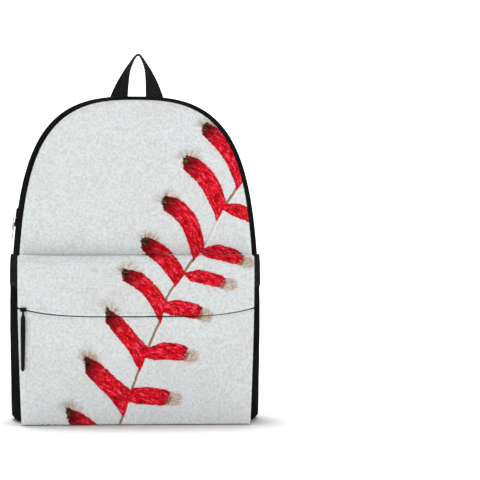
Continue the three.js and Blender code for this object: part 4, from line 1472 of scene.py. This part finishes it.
# %% Carrying loop
WEB_WIDTH, WEB_THICK = 25.0, 1.6
LOOP_SPACING, LOOP_RISE = 49.0, 60.7  # between the feet, and from them up to the crest
LOOP_SHIFT, LOOP_LEAN = 2.4, 2.0  # how far to the right the feet stand, and how much further the crest
LOOP_TURN, LOOP_TURN_PACE = 73.0, 1.6  # degrees between the crest and a foot, and how late they come
loop_table = [(-1, 0), (-0.76, 0.39), (-0.44, 0.75), (0, 1), (0.44, 0.75), (0.76, 0.39), (1, 0)]
loop_foot = float(outline_top(1.0)) + SEAM_GAP
loop_y = float(back_y(outline_top(1.0)))
loop_points = [
    (LOOP_SHIFT + out * LOOP_SPACING / 2 + LOOP_LEAN * rise, loop_y, loop_foot + rise * LOOP_RISE)
    for out, rise in loop_table
]
loop_line = smooth_curve(loop_points, 72)
from_crest = np.linspace(1, -1, 73)
loop_angle = np.radians(90 - LOOP_TURN * np.sign(from_crest) * np.abs(from_crest) ** LOOP_TURN_PACE)
loop_across = np.stack([np.cos(loop_angle), np.sin(loop_angle), 0 * loop_angle], -1)
web_section = webbing_section(WEB_WIDTH, WEB_THICK)
band(
    "carrying_loop",
    loop_line,
    loop_across,
    web_section,
    webbing,
    ["carry_loop"],
    first=[0, 0, 1],
    last=[0, 0, -1],
)

# %% [markdown]
# ## Shoulder straps
# Each strap leaves the back panel near the top and arches back and down. Nobody wears the bag, so the strap
# keeps the curve that its foam gives it. The section is a soft lens with an edge that is pressed by its
# binding.

# %% Strap route, in millimetres
strap_table = [
    (0, 0, 0), (0.12, 0.29, -0.045), (0.26, 0.55, -0.02), (0.44, 0.735, 0.08), (0.62, 0.83, 0.25),
    (0.81, 0.906, 0.46), (0.93, 0.957, 0.67), (0.985, 0.99, 0.845), (1, 1, 1),
]
STRAP_WIDTH, STRAP_THICKNESS = 66.0, 11.0
STRAP_ROOT_OUT, STRAP_ROOT_HEIGHT = 50.0, 390.0  # where a strap leaves the back panel
STRAP_SPREAD, STRAP_BACK, STRAP_DROP = 68.0, 117.0, 283.0  # how far it goes outwards, back and down


def panel_back(z):
    return float(back_y(z)) + 2 * SEAM_GAP + PAD


strap_root = np.array([STRAP_ROOT_OUT, panel_back(STRAP_ROOT_HEIGHT), STRAP_ROOT_HEIGHT])
strap_points = strap_root + np.array(strap_table) * [STRAP_SPREAD, STRAP_BACK, -STRAP_DROP]
strap_line = smooth_curve(strap_points, 120, spaced=True)
strap_across = np.tile([1.0, 0, 0], (len(strap_line), 1))
strap_flat, strap_through = band_frames(strap_line, strap_across, first=[0, 1.0, 0])
strap_length = np.linalg.norm(np.diff(strap_line, axis=0), axis=1).sum()
strap_to_end = (1 - np.linspace(0, 1, len(strap_line))) * strap_length
strap_half = STRAP_WIDTH / 2 * (1 - 0.42 * np.clip(1 - strap_to_end / 26.0, 0, 1) ** 2.2)


def strap_surface(face):
    """One face of the right strap: face is 1 or -1. Rows run along it and columns across it."""
    w = np.linspace(-1, 1, 25)
    thick = STRAP_THICKNESS / 2 * (1 - 0.42 * np.abs(w) ** 5)[None, :]
    thick = thick * (1 - 0.35 * np.clip(1 - strap_to_end / 6.0, 0, 1) ** 2)[:, None]
    grid = strap_line[:, None] + strap_flat[:, None] * (w[None, :] * strap_half[:, None])[..., None]
    return grid + strap_through[:, None] * (face * thick)[..., None]


def strap_free(points):
    """Held near both ends and along both edges."""
    line = np.linalg.norm(points[:, None] - strap_line[None, ::3], axis=-1)
    nearest = np.argmin(line, axis=1) * 3
    sideways = np.sum((points - strap_line[nearest]) * strap_flat[nearest], axis=-1) / (STRAP_WIDTH / 2)
    ends = np.clip((nearest - 4) / 12, 0, 1) * np.clip((len(strap_line) - 18 - nearest) / 12, 0, 1)
    return np.clip(1.25 * (1 - sideways**4), 0, 1) * ends


strap_faces = strap_surface(1), strap_surface(-1)
strap_right, strap_left = pair("padded_strap", *strap_faces, spacer_mesh, "padded_mesh", "shoulder_strap")
swollen(strap_right, 4.0, 4.0, 2.5, strap_free)
left_points = mesh_points(strap_right.data) * SIDES["left"] * MM
strap_left.data.vertices.foreach_set("co", left_points.astype(np.float32).ravel())
strap_left.data.update()


# %% Binding and stitches along the strap's edge
def strap_edge(inset, lift=0.0):
    """Down one edge of the strap, round its lower end and up the other, inset towards the middle."""
    stop = len(strap_line) - int(inset / strap_length * len(strap_line))
    down, flat, out = strap_line[3:stop], strap_flat[3:stop], strap_through[3:stop]
    half = (strap_half - inset)[3:stop, None]
    round_end = np.linspace(1, -1, 9)[1:-1, None] * half[-1]
    low = down[-1] + flat[-1] * round_end
    line = np.concatenate([down + flat * half, low, (down - flat * half)[::-1]])
    way = np.concatenate([out, np.repeat(out[-1:], len(low), axis=0), out[::-1]])
    return line + way * lift, way


binding_line, binding_way = strap_edge(0.8)
oval = np.linspace(0, 2 * np.pi, 17)[:-1]
binding_section = np.stack([4.3 * np.cos(oval), 2.0 * np.sin(oval)], -1)
strap_rows = [strap_edge(5.2, lift)[0] for lift in (5.0, -5.0)]
for side, flip in SIDES.items():
    line, way = binding_line * flip, binding_way * flip
    band(f"strap_binding_{side}", line, way, binding_section, binding)
    stitch_row(f"strap_stitches_{side}", [row * flip for row in strap_rows], black_thread)

# %% [markdown]
# ## Ladder locks, tabs and lower webbing
# A ladder lock hangs from a folded tab on each strap. The lower webbing comes up from the back panel,
# passes behind the lock, turns over its middle bar and hangs down as a free end.

# %% Where the lock hangs
LOCK_BAR, LOCK_GAP = 4.0, 8.0  # thickness of a bar, and from the strap's end to the first bar
wrap_radius = LOCK_BAR * math.sqrt(0.5) + SEAM_GAP + WEB_THICK / 2
lock_slot = 2 * (wrap_radius + WEB_THICK / 2 - LOCK_BAR / 2 + SEAM_GAP)
cad_strap = smooth_curve(strap_points, 16, spaced=True)
lock_down = unit(cad_strap[-1] - cad_strap[-2])
lock_side = unit(np.array([1.0, 0, 0]) - lock_down * lock_down[0])
lock_out = unit(np.cross(lock_side, lock_down))
fold_middle = WEB_THICK + 1.5 * SEAM_GAP
lock_origin = cad_strap[-1] + lock_down * LOCK_GAP + lock_out * (STRAP_THICKNESS / 2 + fold_middle)


def at_lock(below, out, sideways=0.0):
    return lock_origin + lock_down * below + lock_out * out + lock_side * sideways


print("ladder lock at", np.round(lock_origin, 1), "slot", round(lock_slot, 2))

# %% Sewn tabs
half_turn = np.linspace(0, math.pi, 17)
layer_out = (WEB_THICK + SEAM_GAP) / 2
tab_levels = (-28.0, -18.0, -8.0)
tab_line = np.array(
    [at_lock(below, -layer_out) for below in tab_levels]
    + [at_lock(wrap_radius * math.sin(a), -wrap_radius * math.cos(a)) for a in half_turn]
    + [at_lock(below, layer_out) for below in reversed(tab_levels)]
)
tab_across = np.tile(lock_side, (len(tab_line), 1))

# %% Lower webbing
WEB_ROOT_HEIGHT, WEB_SLACK = 75.0, 14.0  # where it leaves the back panel, and how far it sags
TAIL_DROP, TAIL_OUT = 34.0, 24.0  # of the free end, below the lock
middle_bar = LOCK_BAR + lock_slot
bottom_bar = 2 * middle_bar
web_root_x = float(outline_half(WEB_ROOT_HEIGHT, 1.0)) - 7.0
web_root = np.array([web_root_x, panel_back(WEB_ROOT_HEIGHT), WEB_ROOT_HEIGHT])
behind_lock = at_lock(bottom_bar + LOCK_BAR, -wrap_radius)
slack_points = []
for share, dip in ((0, 0), (0.3, 0.6), (0.62, 1), (0.88, 0.6)):
    x, y = between(web_root, behind_lock, share)[:2]
    slack_points.append((x, y, between(WEB_ROOT_HEIGHT, behind_lock[2], share**3) - dip * WEB_SLACK))
slack_line = smooth_curve(slack_points + [behind_lock], 60, spaced=True)
over_bar = [at_lock(middle_bar - wrap_radius * math.sin(a), -wrap_radius * math.cos(a)) for a in half_turn]
tail_points = [
    at_lock(bottom_bar + TAIL_DROP * down, wrap_radius + TAIL_OUT * out)
    for down, out in ((0, 0), (0.35, 0.25), (0.7, 0.62), (1, 1))
]
tail_line = smooth_curve(tail_points, 18, spaced=True)
web_line = np.concatenate([slack_line, over_bar, tail_line])
twist = np.clip(np.arange(len(web_line)) / (len(slack_line) - 1), 0, 1)[:, None] ** 1.3
web_across = unit(between(np.array([[0, 0, 1.0]]), lock_side[None], twist))

# %% Tabs and lower webbing, both sides
for side, flip in SIDES.items():
    line, way, node = tab_line * flip, tab_across * flip, f"strap_tab_{side}"
    band(f"lock_tab_{side}", line, way, web_section, webbing, [node])
    line, way, node = web_line * flip, web_across * flip, f"lower_webbing_{side}"
    band(f"lower_strap_{side}", line, way, web_section, webbing, [node], first=[0, 1.0, 0])

# %% Box stitch on each tab
# How far each corner lies below the lock's bar, and how far sideways.
BOX_CORNERS = np.array([(-26, -9.5), (-26, 9.5), (-11, 9.5), (-11, -9.5)])


def box_stitch(out):
    """The lines of a sewn square and of its two diagonals, from corner to corner."""
    lines = []
    for path in ((0, 1, 2, 3, 0), (0, 2), (1, 3)):
        line = []
        for start, end in zip(path, path[1:]):
            for share in np.linspace(0, 1, 12):
                below, sideways = between(BOX_CORNERS[start], BOX_CORNERS[end], share)
                line.append(at_lock(below, out, sideways))
        lines.append(np.array(line))
    return lines


box_lines = box_stitch(layer_out + WEB_THICK / 2 + 0.1)
for side, flip in SIDES.items():
    lines = [line * flip for line in box_lines]
    stitch_row(f"tab_stitches_{side}", lines, black_thread, 2.2, 0.28)

# %% [markdown]
# ## Zip pulls
# The long pull of the front pocket is a strip of rubber: narrow where it hangs from its slider, widest a
# third of the way down and rounded at its foot. The two pulls of the main zip are short cords with a
# moulded end.


# %% Pulls
PULL_HALF_WIDTH = 2.9


def pull_strip(name, node, across, side, thickness, shape, material):
    """A strip that fills the box of its node: side is the way it leans, 0 for x and 1 for y."""
    low, high = (np.array(corner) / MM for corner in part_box(node))
    top, foot = (low + high) / 2, (low + high) / 2
    top[2], foot[2] = high[2], low[2]
    top[side], foot[side] = high[side] - thickness / 2, low[side] + thickness / 2
    share = np.linspace(0, 1, 40)
    line = top + (foot - top) * share[:, None]
    width = np.interp(share, *zip(*shape))
    ends = np.sqrt(np.clip(1 - (np.abs(share - 0.5) * 2) ** 24, 0.02, 1))
    round_angles = np.linspace(0, 2 * np.pi, 21)[:-1]
    rounded = np.stack([np.cos(round_angles), np.sin(round_angles)], -1)
    section = np.sign(rounded) * np.abs(rounded) ** 0.6 * [PULL_HALF_WIDTH, thickness / 2]
    grow = np.stack([width * ends, 0.55 + 0.45 * ends], -1)
    way = np.tile(across, (len(line), 1))
    band(name, line, way, section, material, [node], grow=grow)


long_pull = [(0, 0.45), (0.09, 0.5), (0.13, 1.0), (0.35, 1.08), (0.7, 0.9), (1, 0.8)]
pull_strip("pocket_zip_pull", "pocket_pull", [1.0, 0, 0], 1, 1.6, long_pull, black_plastic)
cord_pull = [(0, 0.4), (0.45, 0.4), (0.5, 0.95), (0.9, 1.0), (1, 0.8)]
for end in ("lower", "upper"):
    name, node = f"main_zip_pull_{end}", f"main_pull_{end}"
    pull_strip(name, node, [0, 1.0, 0], 0, 1.0, cord_pull, webbing)

# %% [markdown]
# ## Plastic parts
# The ladder locks and sliders are rigid and their solids already have the right shape, so they stay and
# only get their finish.

# %% Finish for the rigid nodes
for name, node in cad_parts.items():
    if node.type != "MESH" or node.hide_render:
        continue
    for slot in node.material_slots:
        slot.material = black_plastic
    print("kept node:", name)

# %% [markdown]
# ## Floor and light
# The photograph has no visible room: the bag stands on white with a soft shadow under it. A large pale
# floor and a glowing white wall all round give that. The wall leans outwards, so that the high light from
# behind casts no shadow of it on the floor. That light makes the bag's own shadow, and three weak lamps
# show the folds of the black cloth.

# %% Floor
ROOM = 8.0  # metres from the middle to the wall
FLOOR_Z = -0.0004  # just under the bag


def stage_piece(name, points, faces, finish):
    """A piece of the room, in metres, which doesn't belong to the bag."""
    mesh = bpy.data.meshes.new(name)
    mesh.from_pydata(points, [], faces)
    mesh.materials.append(finish.material)
    piece = bpy.data.objects.new(name, mesh)
    bpy.context.collection.objects.link(piece)


floor_corners = [(ROOM * x, ROOM * y, FLOOR_Z) for x, y in ((-1, -1), (1, -1), (1, 1), (-1, 1))]
floor_finish = Finish("pale_floor", Roughness=0.9, Specular_IOR_Level=0.1)
floor_tone = noise(object_place(floor_finish), 3.0, 2.0)
floor_finish.give(Base_Color=colour_mix(floor_tone, linear(246, 246, 246), linear(250, 250, 250)))
stage_piece("floor", floor_corners, [(0, 1, 2, 3)], floor_finish)

# %% Backdrop
WALL_TOP_RADIUS, WALL_TOP_Z, WALL_PARTS = 10.4, 4.0, 96
angles = np.linspace(0, 2 * math.pi, WALL_PARTS + 1)[:-1]
rings = ((ROOM, FLOOR_Z), (WALL_TOP_RADIUS, WALL_TOP_Z))
ring_points = [(r * math.cos(a), r * math.sin(a), z) for r, z in rings for a in angles]
after = [(k + 1) % WALL_PARTS for k in range(WALL_PARTS)]
quads = [(k, after[k], WALL_PARTS + after[k], WALL_PARTS + k) for k in range(WALL_PARTS)]
backdrop_finish = Finish("white_backdrop", Roughness=1.0, Emission_Strength=1.02)
backdrop_tone = noise(object_place(backdrop_finish), 0.5, 1.0)
white, off_white = (1.0, 1.0, 1.0, 1.0), (0.99, 0.99, 0.99, 1.0)
backdrop_finish.give(Emission_Color=colour_mix(backdrop_tone, white, off_white))
stage_piece("backdrop", ring_points, quads, backdrop_finish)

# %% Light
world = bpy.data.worlds.new("white_sky")
world.use_nodes = True
sky = world.node_tree.nodes["Background"]
sky.inputs["Color"].default_value = (1.0, 1.0, 1.0, 1.0)
sky.inputs["Strength"].default_value = 0.14
bpy.context.scene.world = world
bpy.context.scene.view_settings.view_transform = "Standard"


def hang_light(data, place, way):
    light = bpy.data.objects.new(data.name, data)
    light.location = place
    light.rotation_euler = way.to_track_quat("-Z", "Y").to_euler()
    bpy.context.collection.objects.link(light)


def lamp(name, place, power):
    """A round lamp, 1.2 metres wide, that looks at the middle of the bag."""
    data = bpy.data.lights.new(name, "AREA")
    data.shape, data.size, data.energy = "DISK", 1.2, power
    hang_light(data, place, Vector((0, 0, 0.2)) - Vector(place))


sun = bpy.data.lights.new("high_back_light", "SUN")
sun.energy, sun.angle = 2.72, math.radians(24.0)
hang_light(sun, (0, 0, 0), Vector((0.03, -0.32, -0.945)))
lamp("left_lamp", (-1.6, -1.9, 1.5), 5.0)
lamp("back_lamp", (-0.5, 2.8, 1.5), 40.0)
lamp("right_lamp", (2.6, 0.3, 1.3), 9.0)

# %% [markdown]
# ## Finish
# The last cell brings the scene up to date.

# %% Update
bpy.context.view_layer.update()
